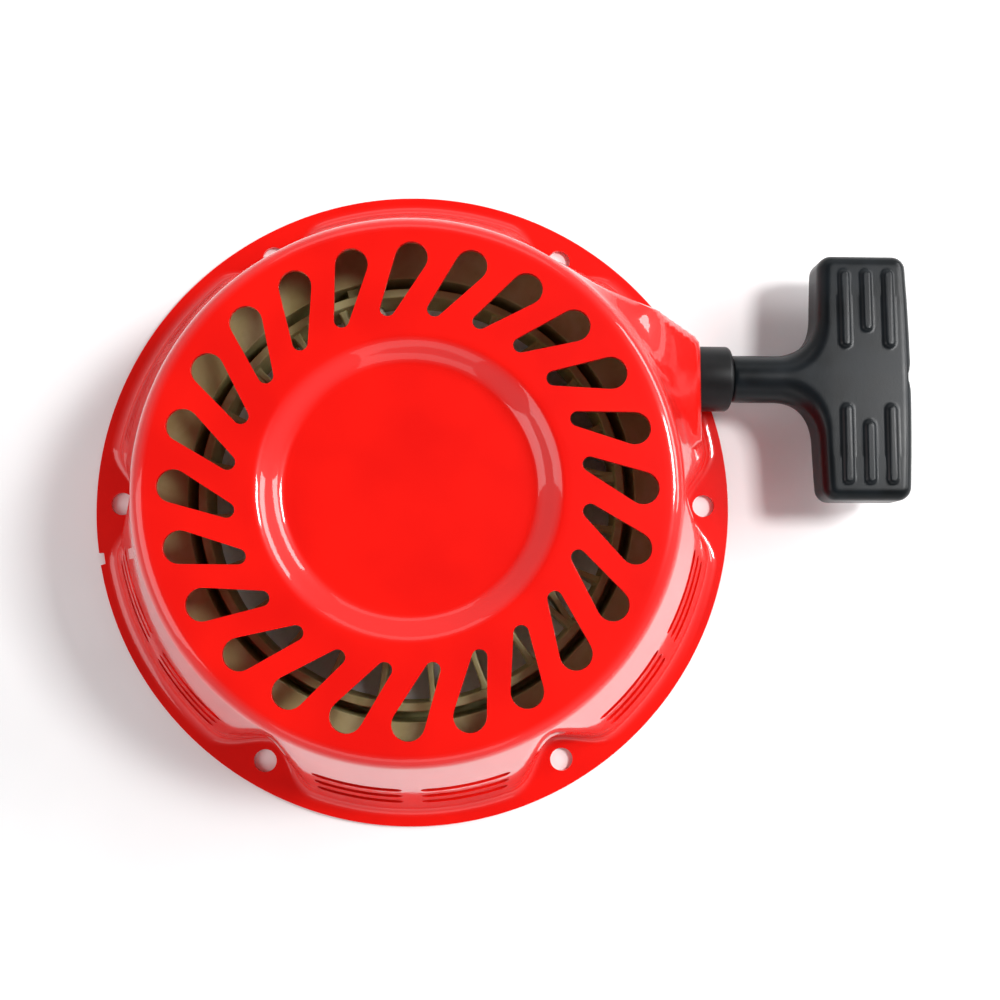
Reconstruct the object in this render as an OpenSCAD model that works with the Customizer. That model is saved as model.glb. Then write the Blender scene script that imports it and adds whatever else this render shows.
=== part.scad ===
// Recoil starter for a single-cylinder engine.
// Origin: centre of the mounting flange's engine-side face. +Z runs out through the crown of the
// housing, +X is the way the rope is pulled.

/* [Housing] */
// Outside diameter of the mounting flange
flange_d = 200; // [198:1:204]
// Height of the housing from flange face to crown
housing_h = 58; // [57:1:60]
// Thickness of the pressed steel sheet
sheet_t = 1.5; // [1.2:0.1:1.6]
// Diameter of the circle through the mounting holes
bolt_circle_d = 184; // [183:1:186]
// Diameter of each mounting hole
bolt_hole_d = 7; // [6:0.5:7.5]
// Angle of the side wall away from upright
wall_draft = 19.5; // [19:0.5:20.5]
// Depth of the round dish in the crown
dish_depth = 5; // [4:0.5:5]

/* [Vents] */
// Number of drop-shaped slots in the crown
vent_count = 24; // [20:1:24]
// Radius of a slot's wide outer end
vent_outer_r = 4.5; // [3.5:0.25:4.5]
// Radius of a slot's narrow inner end
vent_inner_r = 2.1; // [1.5:0.1:2.2]
// Angle that a slot leans by, from its outer end to its inner end
vent_lean = 7.5; // [5:0.5:9]
// Length of a slot in the side wall
side_slot_len = 26; // [20:1:26]
// Width of a slot in the side wall
side_slot_w = 4; // [3:0.5:4.5]

/* [Reel] */
// Outside diameter of the reel's flanges
reel_d = 154; // [152:1:155]
// Diameter of the groove's floor
groove_d = 136; // [134:1:137]
// Width of the rope groove
groove_w = 14; // [13:0.5:14]
// Outside diameter of the reel's cup
cup_d = 95; // [94:1:96]
// Number of ribs between the cup and the rope drum
rib_count = 24; // [18:6:24]

/* [Rope and handle] */
// Diameter of the rope
rope_d = 4.4; // [4:0.1:4.6]
// Distance of the rope's way out from the middle, across the pull
rope_y = 38; // [37:0.5:39]
// Height of the rope's way out above the flange face
rope_z = 18; // [17.5:0.5:19]
// Length of the handle's bar
bar_len = 76; // [70:1:80]
// Width of the handle's bar along the pull
bar_w = 28; // [26:1:30]
// Thickness of the handle's bar
bar_t = 15.6; // [14:0.2:18]

/* [Hidden] */
$fn = 64;
red_paint = [0.85, 0.07, 0.04];
khaki_nylon = [0.72, 0.69, 0.5];
yellow_zinc = [0.78, 0.7, 0.36];
bright_zinc = [0.8, 0.82, 0.85];
spring_steel = [0.32, 0.33, 0.36];
rope_white = [0.91, 0.88, 0.82];
black_plastic = [0.04, 0.045, 0.05];

// Housing
edge_r = 5;
edge_cr = 71;
edge_cz = housing_h - edge_r;
dish_floor_r = 35;
dish_rim_r = 41.5;
dish_turn = atan2(dish_depth, dish_rim_r - dish_floor_r);
bolt_count = 6;
bolt_step = 360 / bolt_count;
scallop_r = 16;
scallop_cr = 100;
vent_outer_cr = 63.5;
vent_inner_cr = 49.5;
side_bridge = 5.5;
side_slot_rows = [12, 20, 28];
exit_x = 86.1;
guide_bore_r = rope_d / 2 + 0.5;
guide_neck_r = 7;
notch_angle = 190;

// Reel
reel_r = reel_d / 2;
groove_r = groove_d / 2;
groove_z = 13;
flange_t = 2.5;
drum_in_r = 60;
drum_z0 = groove_z - flange_t;
drum_z1 = groove_z + groove_w + flange_t;
cup_r = cup_d / 2;
cup_wall = 3;
cup_rim_z = 4;
floor_z0 = 24;
floor_z1 = 27;
hub_r = 11;
hub_z0 = 20.6;
hub_z1 = 30.4;
post_r = 6;
run_gap = 0.05;
pocket_r = 37.5;
pocket_wall = 2.5;
pocket_z1 = 48.6;
lug_out = 2.8;
notch_z = 21.5;
lug_a = [4.6, 34.6];
lug_b = [194.6, 219.6];
anchor_angle = 103.6;
anchor_z = 17;

// Rewind spring
spring_hook_angle = 20;
spring_turns = 8;
spring_steps = 24;
spring_strip = 0.8;
spring_in = 9.3;
spring_out = pocket_r - 1.2;
spring_z0 = floor_z1 + 3.3;
spring_h = 16;

// Pawls and their guide, in a frame whose X axis runs through the middle of a window
window_angle = 154.6;
pawl_z0 = 16.4;
pawl_z1 = 20.6;
pawl_pivot = [10.1, 19];
pawl_tip = [30.3, 11];
pawl_peg = [17.5, 4.5];
pawl_pin_r = 2.5;
guide_r = 32;
guide_base_z = 14.5;
guide_top_z = 12.8;
guide_t = 1.5;

// Centre stack
collar_r = 10.2;
collar_z0 = 9.4;
collar_z1 = 12.5;

// Handle
handle_x0 = 97;
bar_x0 = 124.5;
bar_x1 = bar_x0 + bar_w;
stem_r = 7.25;
knot_pocket_r = 6.2;
knot_floor_x = 138;

// Route of the rope from the reel to the guide's mouth, and on to the handle's knot
rope_run_route = [
    [56, 50.4, 19.6], [60, 48.4, 19.4], [64, 46.4, 19.2], [68, 44.4, 18.9], [72, 42.3, 18.6],
    [76, 40.3, 18.3], [80, 38.8, 18.1], [84, 38.1, 18], [88, 38, 18], [92.5, 38, 18], [97, 38, 18]
];

function arc_pts(c, r, a0, a1, n) =
    [for (i = [0:n]) let (a = a0 + (a1 - a0) * i / n) c + r * [cos(a), sin(a)]];
function polar(r, a) = [r * cos(a), r * sin(a)];

// Radius of the side wall at height z, moved inwards by d
function wall_r(z, d = 0) = edge_cr + (edge_r - d) / cos(wall_draft) + (edge_cz - z) * tan(wall_draft);

// Outline of the pressed dome from its axis to the foot of its wall, moved inwards by d
function dome_outline(d, foot_z) =
    let (dz = housing_h - dish_depth - d, shift = d * tan(dish_turn / 2))
    concat(
        [[0, foot_z], [0, dz], [dish_floor_r + shift, dz], [dish_rim_r + shift, housing_h - d]],
        arc_pts([edge_cr, edge_cz], edge_r - d, 90, wall_draft, 5),
        [[wall_r(foot_z, d), foot_z]]
    );

// A drop: two arcs of radius ra and rb about a and b, joined by their common tangents
function drop_pts(a, b, ra, rb) =
    let (u = a - b, heading = atan2(u[1], u[0]), lift = 90 + asin((ra - rb) / norm(u)))
    concat(arc_pts(a, ra, heading - lift, heading + lift, 10),
           arc_pts(b, rb, heading + lift, heading + 360 - lift, 6));

// A slot with round ends, length along x
function stadium_pts(len, w) =
    concat(arc_pts([len / 2 - w / 2, 0], w / 2, -90, 90, 6),
           arc_pts([w / 2 - len / 2, 0], w / 2, 90, 270, 6));

// A rectangle from p to q with corners of radius r
function round_rect_pts(p, q, r) =
    concat(arc_pts([q[0] - r, q[1] - r], r, 0, 90, 4), arc_pts([p[0] + r, q[1] - r], r, 90, 180, 4),
           arc_pts([p[0] + r, p[1] + r], r, 180, 270, 4), arc_pts([q[0] - r, p[1] + r], r, 270, 360, 4));

// A round tube along a route: one ring of n points square to the route at each of its points
function unit(v) = v / norm(v);
function heading_at(route, i) =
    unit(route[min(i + 1, len(route) - 1)] - route[max(i - 1, 0)]);
function ring_pts(route, i, r, n) =
    let (t = heading_at(route, i), side = unit(cross(t, abs(t[2]) > 0.9 ? [1, 0, 0] : [0, 0, 1])),
         up = cross(side, t))
    [for (k = [0:n - 1]) route[i] + r * (cos(360 * k / n) * side + sin(360 * k / n) * up)];
module tube(route, r, n) {
    last = len(route) - 1;
    rings = [for (i = [0:last]) for (p = ring_pts(route, i, r, n)) p];
    sides = [for (i = [0:last - 1]) for (k = [0:n - 1]) let (j = (k + 1) % n)
             each [[i * n + k, i * n + j, (i + 1) * n + j], [i * n + k, (i + 1) * n + j, (i + 1) * n + k]]];
    ends = [for (k = [1:n - 2]) each [[0, k + 1, k], [last * n, last * n + k, last * n + k + 1]]];
    polyhedron(points = rings, faces = concat(sides, ends));
}
function helix_route(r, z0, pitch, turns, steps) =
    [for (i = [0:turns * steps]) let (a = 360 * i / steps) [r * cos(a), r * sin(a), z0 + pitch * i / steps]];

module ring_sector(r0, r1, a, z0, z1)
    rotate([0, 0, a[0]])
        rotate_extrude(angle = a[1] - a[0])
            translate([r0, z0])
                square([r1 - r0, z1 - z0]);

// Raised box round the rope's way out, moved inwards by d
module exit_box(d, foot_z) {
    x = exit_x - d;
    hull()
        polyhedron(
            points = [
                [50, 8 + d, foot_z], [x, 19 + d, foot_z], [x, 50.5 - d, foot_z], [40, 68 - d, foot_z],
                [50, 24 + d, 48 - d], [x, 26 + d, 31 - d], [x, 48 - d, 31 - d], [40, 46 - d, 48 - d]
            ],
            faces = [[0, 1, 2, 3], [4, 7, 6, 5], [0, 4, 5, 1], [1, 5, 6, 2], [2, 6, 7, 3], [3, 7, 4, 0]]
        );
}

// The dome's solid envelope: turned outline, pushed in beside each mounting hole
module dome_body(d, foot_z) {
    difference() {
        rotate_extrude()
            polygon(dome_outline(d, foot_z));
        for (i = [0:bolt_count - 1])
            rotate([0, 0, i * bolt_step])
                translate([scallop_cr, 0, foot_z - 1])
                    cylinder(h = housing_h, r = scallop_r + d);
    }
    exit_box(d, foot_z);
}

module crown_vents()
    for (i = [0:vent_count - 1])
        let (a = i * 360 / vent_count)
            translate([0, 0, edge_cz - 3])
                linear_extrude(edge_r + 6)
                    polygon(drop_pts(polar(vent_outer_cr, a), polar(vent_inner_cr, a + vent_lean),
                                     vent_outer_r, vent_inner_r));

module side_vents()
    for (i = [1:bolt_count - 1], side = [-1, 1], z = side_slot_rows)
        rotate([0, 0, (i + 0.5) * bolt_step])
            translate([0, side * (side_bridge + side_slot_len) / 2, z])
                rotate([90, 0, 90])
                    translate([0, 0, 66])
                        linear_extrude(34)
                            polygon(stadium_pts(side_slot_len, side_slot_w));

module housing_shell() color(red_paint)
    difference() {
        union() {
            dome_body(0, 0);
            cylinder(h = sheet_t, d = flange_d);
        }
        dome_body(sheet_t, -1);
        crown_vents();
        side_vents();
        for (i = [0:bolt_count - 1])
            rotate([0, 0, i * bolt_step])
                translate([bolt_circle_d / 2, 0, -1])
                    cylinder(h = sheet_t + 2, d = bolt_hole_d);
        translate([exit_x - 8, rope_y, rope_z])
            rotate([0, 90, 0])
                cylinder(h = 12, r = guide_neck_r + 0.1);
        rotate([0, 0, notch_angle])
            translate([flange_d / 2 - 2.5, -2, -1])
                cube([5, 4, sheet_t + 2]);
    }

// Axle welded inside the crown: the reel runs on its thin end, the spring hooks in its thick end
module center_post() color(bright_zinc)
    difference() {
        union() {
            translate([0, 0, collar_z1])
                cylinder(h = hub_z1 + 0.4 - collar_z1, r = post_r);
            translate([0, 0, hub_z1 + 0.4])
                cylinder(h = 17, r = 9);
            translate([0, 0, hub_z1 + 17])
                cylinder(h = housing_h - dish_depth - sheet_t - hub_z1 - 17, r = 16);
        }
        translate([0, 0, collar_z1 - 1])
            cylinder(h = 17, r = 3);
        rotate([0, 0, spring_hook_angle])
            translate([6, -0.6, hub_z1 + 0.5])
                cube([5, 1.2, 16.2]);
    }

module shaft_collar() color(yellow_zinc)
    rotate_extrude()
        polygon(concat(
            [[3.05, collar_z1], [3.05, collar_z0 + 0.2], [3.3, collar_z0], [7, collar_z0]],
            arc_pts([7.4, collar_z0 + 1.2], 1.2, -90, 0, 4),
            arc_pts([collar_r - 1, collar_z0 + 2.2], 1, -70, 0, 4),
            [[collar_r, collar_z1 - 0.3], [collar_r - 0.3, collar_z1]]
        ));

module center_bolt() color(bright_zinc) {
    intersection() {
        translate([0, 0, collar_z0 - 4])
            cylinder(h = 4, r = 5.77, $fn = 6);
        rotate_extrude()
            polygon([[0, collar_z0 - 4], [4.7, collar_z0 - 4], [5.8, collar_z0 - 3.3],
                     [5.8, collar_z0], [0, collar_z0]]);
    }
    translate([0, 0, collar_z0 - 0.2])
        cylinder(h = 18, r = 2.95);
}

// Nylon eyelet that the rope leaves through; the wall is held between its two flanges
module rope_guide() color(black_plastic)
    translate([0, rope_y, rope_z])
        rotate([0, 90, 0])
            rotate_extrude()
                polygon(concat(
                    [[guide_bore_r + 1.6, exit_x - 3.7], [9, exit_x - 3.7], [9, exit_x - sheet_t],
                     [guide_neck_r, exit_x - sheet_t], [guide_neck_r, exit_x]],
                    [[10, exit_x]],
                    arc_pts([9, handle_x0 - 1.3], 1, 0, 90, 4),
                    [[guide_bore_r + 0.5, handle_x0 - 0.3], [guide_bore_r, handle_x0 - 1],
                     [guide_bore_r, exit_x - 1.5]]
                ));

function drum_outline() = concat(
    [[drum_in_r, drum_z1], [drum_in_r, drum_z0 + 4]],
    arc_pts([drum_in_r + 3.5, drum_z0 + 3.5], 3.5, 180, 270, 5),
    [[reel_r - 1, drum_z0]],
    arc_pts([reel_r - 1, drum_z0 + 1], 1, -90, 0, 3),
    [[reel_r, groove_z - 0.5], [reel_r - 0.6, groove_z], [groove_r, groove_z],
     [groove_r, groove_z + groove_w], [reel_r - 0.6, groove_z + groove_w],
     [reel_r, groove_z + groove_w + 0.5]],
    arc_pts([reel_r - 1, drum_z1 - 1], 1, 0, 90, 3),
    [[groove_r - 2.5, drum_z1], [groove_r - 2.5, groove_z + 1.5], [drum_in_r + 2.5, groove_z + 1.5],
     [drum_in_r + 2.5, drum_z1]]
);

// Hub, floor, cup wall and spring pocket, turned in one
function core_outline() = [
    [post_r + run_gap, hub_z0], [hub_r, hub_z0], [hub_r, floor_z0], [cup_r - cup_wall - 1.5, floor_z0],
    [cup_r - cup_wall, floor_z0 - 1.5], [cup_r - cup_wall, cup_rim_z + 0.6],
    [cup_r - cup_wall + 0.6, cup_rim_z], [cup_r - 0.6, cup_rim_z], [cup_r, cup_rim_z + 0.6],
    [cup_r, floor_z1], [pocket_r + pocket_wall, floor_z1], [pocket_r + pocket_wall, pocket_z1],
    [pocket_r, pocket_z1], [pocket_r, floor_z1], [hub_r, floor_z1], [hub_r, hub_z1],
    [post_r + run_gap, hub_z1]
];

module reel_ribs()
    for (i = [0:rib_count - 1])
        let (a = i * 360 / rib_count + 6)
            if (abs(a - anchor_angle + 9) > 14) {
                rotate([0, 0, a])
                    translate([cup_r - 1.2, -0.8, 15])
                        cube([drum_in_r - cup_r + 2.4, 1.6, 11.4]);
                if (i % 3 == 0)
                    rotate([0, 0, a])
                        translate([drum_in_r + 0.8, 0, 15])
                            rotate([0, 0, 180 - 19])
                                translate([0, -0.8, 0.3])
                                    cube([13.6, 1.6, 10.8]);
            }

module at_pawls()
    for (turn = [0, 180])
        rotate([0, 0, window_angle + turn])
            children();

module rope_reel() color(khaki_nylon)
    difference() {
        union() {
            rotate_extrude()
                polygon(drum_outline());
            rotate_extrude()
                polygon(core_outline());
            reel_ribs();
            for (a = [lug_a, lug_b])
                ring_sector(cup_r - 1, cup_r + lug_out, a, cup_rim_z + 0.3, floor_z1 - 1.3);
            // seats that carry the pawls' pins
            at_pawls()
                translate([pawl_pivot[0], pawl_pivot[1], pawl_z1 + 0.3])
                    cylinder(h = floor_z0 + 1 - pawl_z1, r = 7.5);
            // ribs that the spring rests on
            for (i = [0:5])
                rotate([0, 0, i * 60])
                    translate([hub_r - 1, -1, floor_z1 - 0.5])
                        cube([pocket_r - hub_r + 2, 2, 3.5]);
            // pad that the rope's knot pulls against
            rotate([0, 0, anchor_angle])
                translate([drum_in_r + 1, -5, groove_z + 0.7])
                    cube([groove_r - drum_in_r - 2.2, 10, groove_w - 1.4]);
        }
        // notches inside the cup wall, each stopped by a block at one end
        ring_sector(cup_r - cup_wall - 1, cup_r - 0.3, [lug_a[0] + 2.5, lug_a[1] - 9], cup_rim_z - 1, notch_z);
        ring_sector(cup_r - cup_wall - 1, cup_r - 0.3, [lug_b[0] + 2.5, lug_b[1] - 7], cup_rim_z - 1, notch_z);
        at_pawls() {
            translate([pawl_pivot[0], pawl_pivot[1], pawl_z1 - 1])
                cylinder(h = 9, r = pawl_pin_r + 0.06);
            translate([pawl_pivot[0], pawl_pivot[1], pawl_z1 - 1])
                cylinder(h = 4.2, r = 5.2);
        }
        rotate([0, 0, anchor_angle])
            translate([drum_in_r - 5, 0, anchor_z])
                rotate([0, 90, 0])
                    cylinder(h = 16, r = rope_d / 2 + 0.3);
        // small gate notch in the outer edge
        rotate([0, 0, 297.6])
            translate([reel_r - 3, -2.3, drum_z0 - 1])
                cube([5, 4.6, flange_t + 2]);
        // slot that holds the spring's outer hook
        rotate([0, 0, spring_hook_angle])
            translate([pocket_r - 1, -0.7, floor_z1 + 3])
                cube([5, 1.4, pocket_z1]);
    }

// Rope wound three turns deep across the groove, as one ring
module rope_coil() color(rope_white)
    rotate_extrude()
        polygon(round_rect_pts([groove_r + 0.2, groove_z + 0.3],
                               [groove_r + 0.2 + rope_d, groove_z + groove_w - 0.3], 1.6));

// Knot inside the drum, the rope's way through the wall, and its cut tail
module reel_knot() color(rope_white)
    rotate([0, 0, anchor_angle]) {
        translate([55.4, 0, anchor_z - 1])
            sphere(r = 3.8);
        translate([56, 0, anchor_z])
            rotate([0, 90, 0])
                cylinder(h = groove_r - 56.1, r = rope_d / 2);
        tube([[55, 0, 13.6], [54.6, -3.5, 12.8], [54, -7, 12.6], [53, -10.5, 12.4], [51.6, -14, 12.3],
              [50.2, -17.4, 12.2]], rope_d / 2 - 0.1, 10);
    }

// Flat spiral spring, hooked to the post inside and to the reel outside
function spring_r(t) = spring_in + (spring_out - spring_in) * pow(t, 0.7);
module rewind_spring() color(spring_steel) {
    last = spring_turns * spring_steps;
    start = spring_hook_angle;
    inner = [for (i = [0:last]) polar(spring_r(i / last), start + 360 * i / spring_steps)];
    outer = [for (i = [last:-1:0]) polar(spring_r(i / last) + spring_strip, start + 360 * i / spring_steps)];
    translate([0, 0, spring_z0]) {
        linear_extrude(spring_h)
            polygon(concat(inner, outer));
        rotate([0, 0, start]) {
            translate([spring_out + 0.2, -spring_strip / 2, 0])
                cube([3, spring_strip, spring_h]);
            translate([6.5, -spring_strip / 2, 0.9])
                cube([3.2, spring_strip, spring_h - 0.9]);
        }
    }
}

module guide_window(grow, z0, z1)
    translate([0, 0, z0])
        linear_extrude(z1 - z0)
            polygon(round_rect_pts([13 - grow, -8 - grow], [26.6 + grow, 8 + grow], 0.6 + grow * 0.4));

// Pressed disc that turns a little on the post and cams the pawls out through its two windows
module ratchet_guide() color(yellow_zinc)
    difference() {
        union() {
            translate([0, 0, guide_base_z])
                cylinder(h = guide_t, r = guide_r);
            translate([0, 0, guide_top_z])
                cylinder(h = guide_base_z - guide_top_z + 0.5, r = 13);
            at_pawls()
                guide_window(2.6, guide_top_z, guide_base_z + 0.5);
        }
        at_pawls()
            guide_window(0, guide_top_z - 1, guide_base_z + guide_t + 1);
        translate([0, 0, guide_top_z - 1])
            cylinder(h = 6, r = post_r + 0.06);
    }

module inspection_dot() color([0.8, 0.12, 0.08])
    rotate([0, 0, 213.6])
        translate([20.6, 0, guide_base_z - 0.2])
            cylinder(h = 0.2, r = 5.4);

module friction_spring() color(spring_steel)
    tube(helix_route(8.4, guide_base_z + guide_t + 1, 1.35, 2, 18), 0.7, 8);

// Ratchet pawl: a pin in the reel, a tip that swings out, and a peg in the guide's window
module pawl_shape() {
    p = pawl_pivot;
    t = pawl_tip;
    q = pawl_peg;
    thick = pawl_z1 - pawl_z0;
    translate([0, 0, pawl_z0])
        linear_extrude(thick)
            polygon([p + [-1.5, 4.3], t + [-7, 4.6], t + [0.2, 1.6], t + [1.5, -1.6], t + [-3, -4.4],
                     q + [3.6, -1.6], q + [1, -3.1], q + [-2.2, -2.4], q + [-3.2, 0.6], p + [-4.4, -1.2],
                     p + [-4.2, 2.2]]);
    translate([p[0], p[1], pawl_z0])
        cylinder(h = thick, r = 5.2);
    translate([p[0], p[1], pawl_z0])
        cylinder(h = thick + 6.6, r = pawl_pin_r);
    translate([q[0], q[1], guide_top_z + 0.4])
        cylinder(h = pawl_z0 - guide_top_z, r = 1.6);
}
module pawl_a() color([0.5, 0.5, 0.5])
    rotate([0, 0, window_angle])
        pawl_shape();
module pawl_b() color([0.5, 0.5, 0.5])
    rotate([0, 0, window_angle + 180])
        pawl_shape();

module pawl_spring_shape()
    translate([pawl_pivot[0], pawl_pivot[1], 0])
        tube(helix_route(3.9, pawl_z1 + 0.75, 1.05, 2, 16), 0.42, 6);
module pawl_spring_a() color(spring_steel)
    rotate([0, 0, window_angle])
        pawl_spring_shape();
module pawl_spring_b() color(spring_steel)
    rotate([0, 0, window_angle + 180])
        pawl_spring_shape();

module rope_run() color(rope_white)
    tube(rope_run_route, rope_d / 2, 10);

module rope_lead() color(rope_white)
    translate([handle_x0 + 0.3, rope_y, rope_z])
        rotate([0, 90, 0])
            cylinder(h = knot_floor_x - handle_x0 - 0.5, r = rope_d / 2);

// Outline of the tee, seen along its thickness: bar with round corners, blended into the stem
function tee_outline() = let (h = bar_len / 2) concat(
    [[bar_x0 - 8, -stem_r - 0.2]],
    arc_pts([bar_x0 - 8, -stem_r - 8.2], 8, 90, 10, 5),
    [[bar_x0 - 1.2, -h + 14]],
    arc_pts([bar_x0 + 3.2, -h + 4], 4, 180, 270, 4),
    arc_pts([bar_x1 - 4.6, -h + 4], 4, 270, 352, 4),
    [[bar_x1, 0]],
    arc_pts([bar_x1 - 4.6, h - 4], 4, 8, 90, 4),
    arc_pts([bar_x0 + 3.2, h - 4], 4, 90, 180, 4),
    [[bar_x0 - 1.2, h - 14]],
    arc_pts([bar_x0 - 8, stem_r + 8.2], 8, -10, -90, 5),
    [[bar_x0 - 8, stem_r + 0.2]]
);
module handle_grip() color(black_plastic)
    difference() {
        translate([0, rope_y, rope_z])
            union() {
                translate([0, 0, -bar_t / 2])
                    linear_extrude(bar_t)
                        polygon(tee_outline());
                rotate([0, 90, 0])
                    translate([0, 0, handle_x0])
                        cylinder(h = bar_x0 - handle_x0 + 4, r = stem_r);
            }
        translate([handle_x0 - 1, rope_y, rope_z])
            rotate([0, 90, 0])
                cylinder(h = bar_x1 - handle_x0, r = rope_d / 2 + 0.4);
        translate([knot_floor_x, rope_y, rope_z])
            rotate([0, 90, 0])
                cylinder(h = 30, r = knot_pocket_r);
    }

module handle_washer() color(bright_zinc)
    translate([knot_floor_x + 0.1, rope_y, rope_z])
        rotate([0, 90, 0])
            difference() {
                cylinder(h = 1.2, r = knot_pocket_r - 0.3);
                translate([0, 0, -1])
                    cylinder(h = 4, r = rope_d / 2 + 0.3);
            }

module handle_knot() color(rope_white)
    translate([knot_floor_x, rope_y, rope_z])
        rotate([0, 90, 0])
            rotate_extrude()
                polygon(concat(
                    [[0, -0.1], [rope_d / 2, -0.1], [rope_d / 2, 1.3]],
                    arc_pts([0, 5.4], 5, -55, 60, 8),
                    [[rope_d / 2, 9.7], [rope_d / 2, 12.5], [0, 12.5]]
                ));

housing_shell();
center_post();
shaft_collar();
center_bolt();
rope_guide();
rope_reel();
rope_coil();
reel_knot();
rewind_spring();
ratchet_guide();
inspection_dot();
friction_spring();
pawl_a();
pawl_b();
pawl_spring_a();
pawl_spring_b();
rope_run();
rope_lead();
handle_grip();
handle_washer();
handle_knot();
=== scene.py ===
# %% [markdown]
# # A recoil starter, from its mechanism to its looks
# A recoil starter turns a small engine over by hand: a rope wound on a nylon reel, a flat spring
# that winds it back, and two pawls that grip the engine's cup. All of it hangs inside one pressed
# steel housing. The mechanism comes in as a fixed frame of plain solids, and this lesson builds
# the looks around it. First the frame is loaded.

# %% Loading the frame
import itertools
import math

import bmesh
import bpy
import numpy as np
from mathutils import Matrix, Vector


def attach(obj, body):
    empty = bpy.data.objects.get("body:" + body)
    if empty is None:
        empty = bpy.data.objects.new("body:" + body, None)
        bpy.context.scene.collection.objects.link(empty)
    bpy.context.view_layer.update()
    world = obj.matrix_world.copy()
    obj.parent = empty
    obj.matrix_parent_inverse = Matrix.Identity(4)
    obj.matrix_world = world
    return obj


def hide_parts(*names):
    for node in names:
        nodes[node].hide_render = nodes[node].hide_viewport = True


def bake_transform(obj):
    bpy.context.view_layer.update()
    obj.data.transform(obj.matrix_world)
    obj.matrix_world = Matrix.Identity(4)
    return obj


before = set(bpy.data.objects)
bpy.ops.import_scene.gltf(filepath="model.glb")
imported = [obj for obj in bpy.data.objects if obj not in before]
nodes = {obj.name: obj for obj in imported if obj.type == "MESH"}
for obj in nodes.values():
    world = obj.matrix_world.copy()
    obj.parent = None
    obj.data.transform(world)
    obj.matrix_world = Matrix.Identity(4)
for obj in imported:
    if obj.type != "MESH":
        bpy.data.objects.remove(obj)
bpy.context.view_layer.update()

# %% [markdown]
# ## Points, faces and objects
# Every surface here is a grid of points that numpy works out in one go. What is left for Blender
# is to take the points (in millimetres, as a drawing has them), the quads and the triangles.
# Doubles are merged where two patches share an edge, and closed shapes get their normals turned
# outwards once that is done.

# %% From points to a mesh object
MM = 0.001
TURN = 2 * math.pi


def polar(radius, angle, *height):
    """Points (radius cos angle, radius sin angle), with a height as third number if given."""
    flat = radius * np.cos(angle), radius * np.sin(angle)
    return np.stack(np.broadcast_arrays(*flat, *height), -1)


def grid_quads(rows, columns, wrap_rows=False, wrap_columns=False, first=0):
    """Quads of a grid of points stored row after row: each joins a point to its next neighbour
    along the row, the one across from that, and its own neighbour in the next row."""
    i = np.arange(rows if wrap_rows else rows - 1)[:, None]
    j = np.arange(columns if wrap_columns else columns - 1)[None, :]
    k, l = (i + 1) % rows, (j + 1) % columns
    return first + np.stack([i * columns + j, i * columns + l, k * columns + l, k * columns + j],
                            -1).reshape(-1, 4)


def fan(ring, centre, flip=False):
    """Triangles that join each step of a closed ring of point numbers to one centre point."""
    ring = np.asarray(ring)
    after = np.roll(ring, -1)
    pair = (after, ring) if flip else (ring, after)
    return np.stack([*pair, np.full(len(ring), centre)], -1)


def as_object(name, points, quads=(), triangles=()):
    """A mesh object of that name from points in millimetres, quads and triangles."""
    points = np.asarray(points, float).reshape(-1, 3) * MM
    quads = np.asarray(quads, int).reshape(-1, 4)
    triangles = np.asarray(triangles, int).reshape(-1, 3)
    starts = np.concatenate([np.arange(len(quads)) * 4, quads.size + np.arange(len(triangles)) * 3])
    mesh = bpy.data.meshes.new(name)
    mesh.vertices.add(len(points))
    mesh.vertices.foreach_set("co", points.astype(np.float32).ravel())
    mesh.loops.add(quads.size + triangles.size)
    mesh.loops.foreach_set("vertex_index", np.concatenate([quads.ravel(), triangles.ravel()]))
    mesh.polygons.add(len(starts))
    mesh.polygons.foreach_set("loop_start", starts)
    mesh.update(calc_edges=True)
    piece = bpy.data.objects.new(name, mesh)
    bpy.context.scene.collection.objects.link(piece)
    return piece


def sew(piece, gap=0.002):
    """Merges points closer than gap millimetres, drops what that flattens, and turns the faces
    of closed shapes outwards."""
    work = bmesh.new()
    work.from_mesh(piece.data)
    bmesh.ops.remove_doubles(work, verts=work.verts, dist=gap * MM)
    bmesh.ops.dissolve_degenerate(work, edges=work.edges, dist=gap * MM * 0.2)
    bmesh.ops.recalc_face_normals(work, faces=work.faces)
    open_edges = sum(1 for e in work.edges if len(e.link_faces) != 2)
    work.to_mesh(piece.data)
    work.free()
    print(f"{piece.name}: {len(piece.data.vertices)} points, {open_edges} open edges")
    return piece


def smooth(piece, angle=None):
    """Smooth shading, with edges sharper than the angle in degrees kept crisp."""
    piece.data.shade_smooth()
    if angle is not None:
        piece.data.set_sharp_from_angle(angle=math.radians(angle))
    return piece


def bevel(piece, width, angle):
    """Rounds every edge that turns by more than the angle, by a width in millimetres."""
    made = piece.modifiers.new("rounded edges", "BEVEL")
    made.width, made.segments, made.limit_method = width * MM, 2, "ANGLE"
    made.angle_limit, made.harden_normals = math.radians(angle), True
    made.use_clamp_overlap = True


def set_modifiers(piece):
    """Turns a piece's modifiers into its mesh, so that what follows works on the final points."""
    shown = piece.evaluated_get(bpy.context.evaluated_depsgraph_get())
    made = bpy.data.meshes.new_from_object(shown)
    piece.modifiers.clear()
    old, piece.data = piece.data, made
    bpy.data.meshes.remove(old)


def dress(piece, material, slot, body, *solids):
    """Gives a piece its material, hides the frame solids it stands for and hangs it on the empty of
    the body it rides on. The slot is not used."""
    piece.data.materials.clear()
    piece.data.materials.append(material)
    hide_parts(*solids)
    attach(piece, body)

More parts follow.
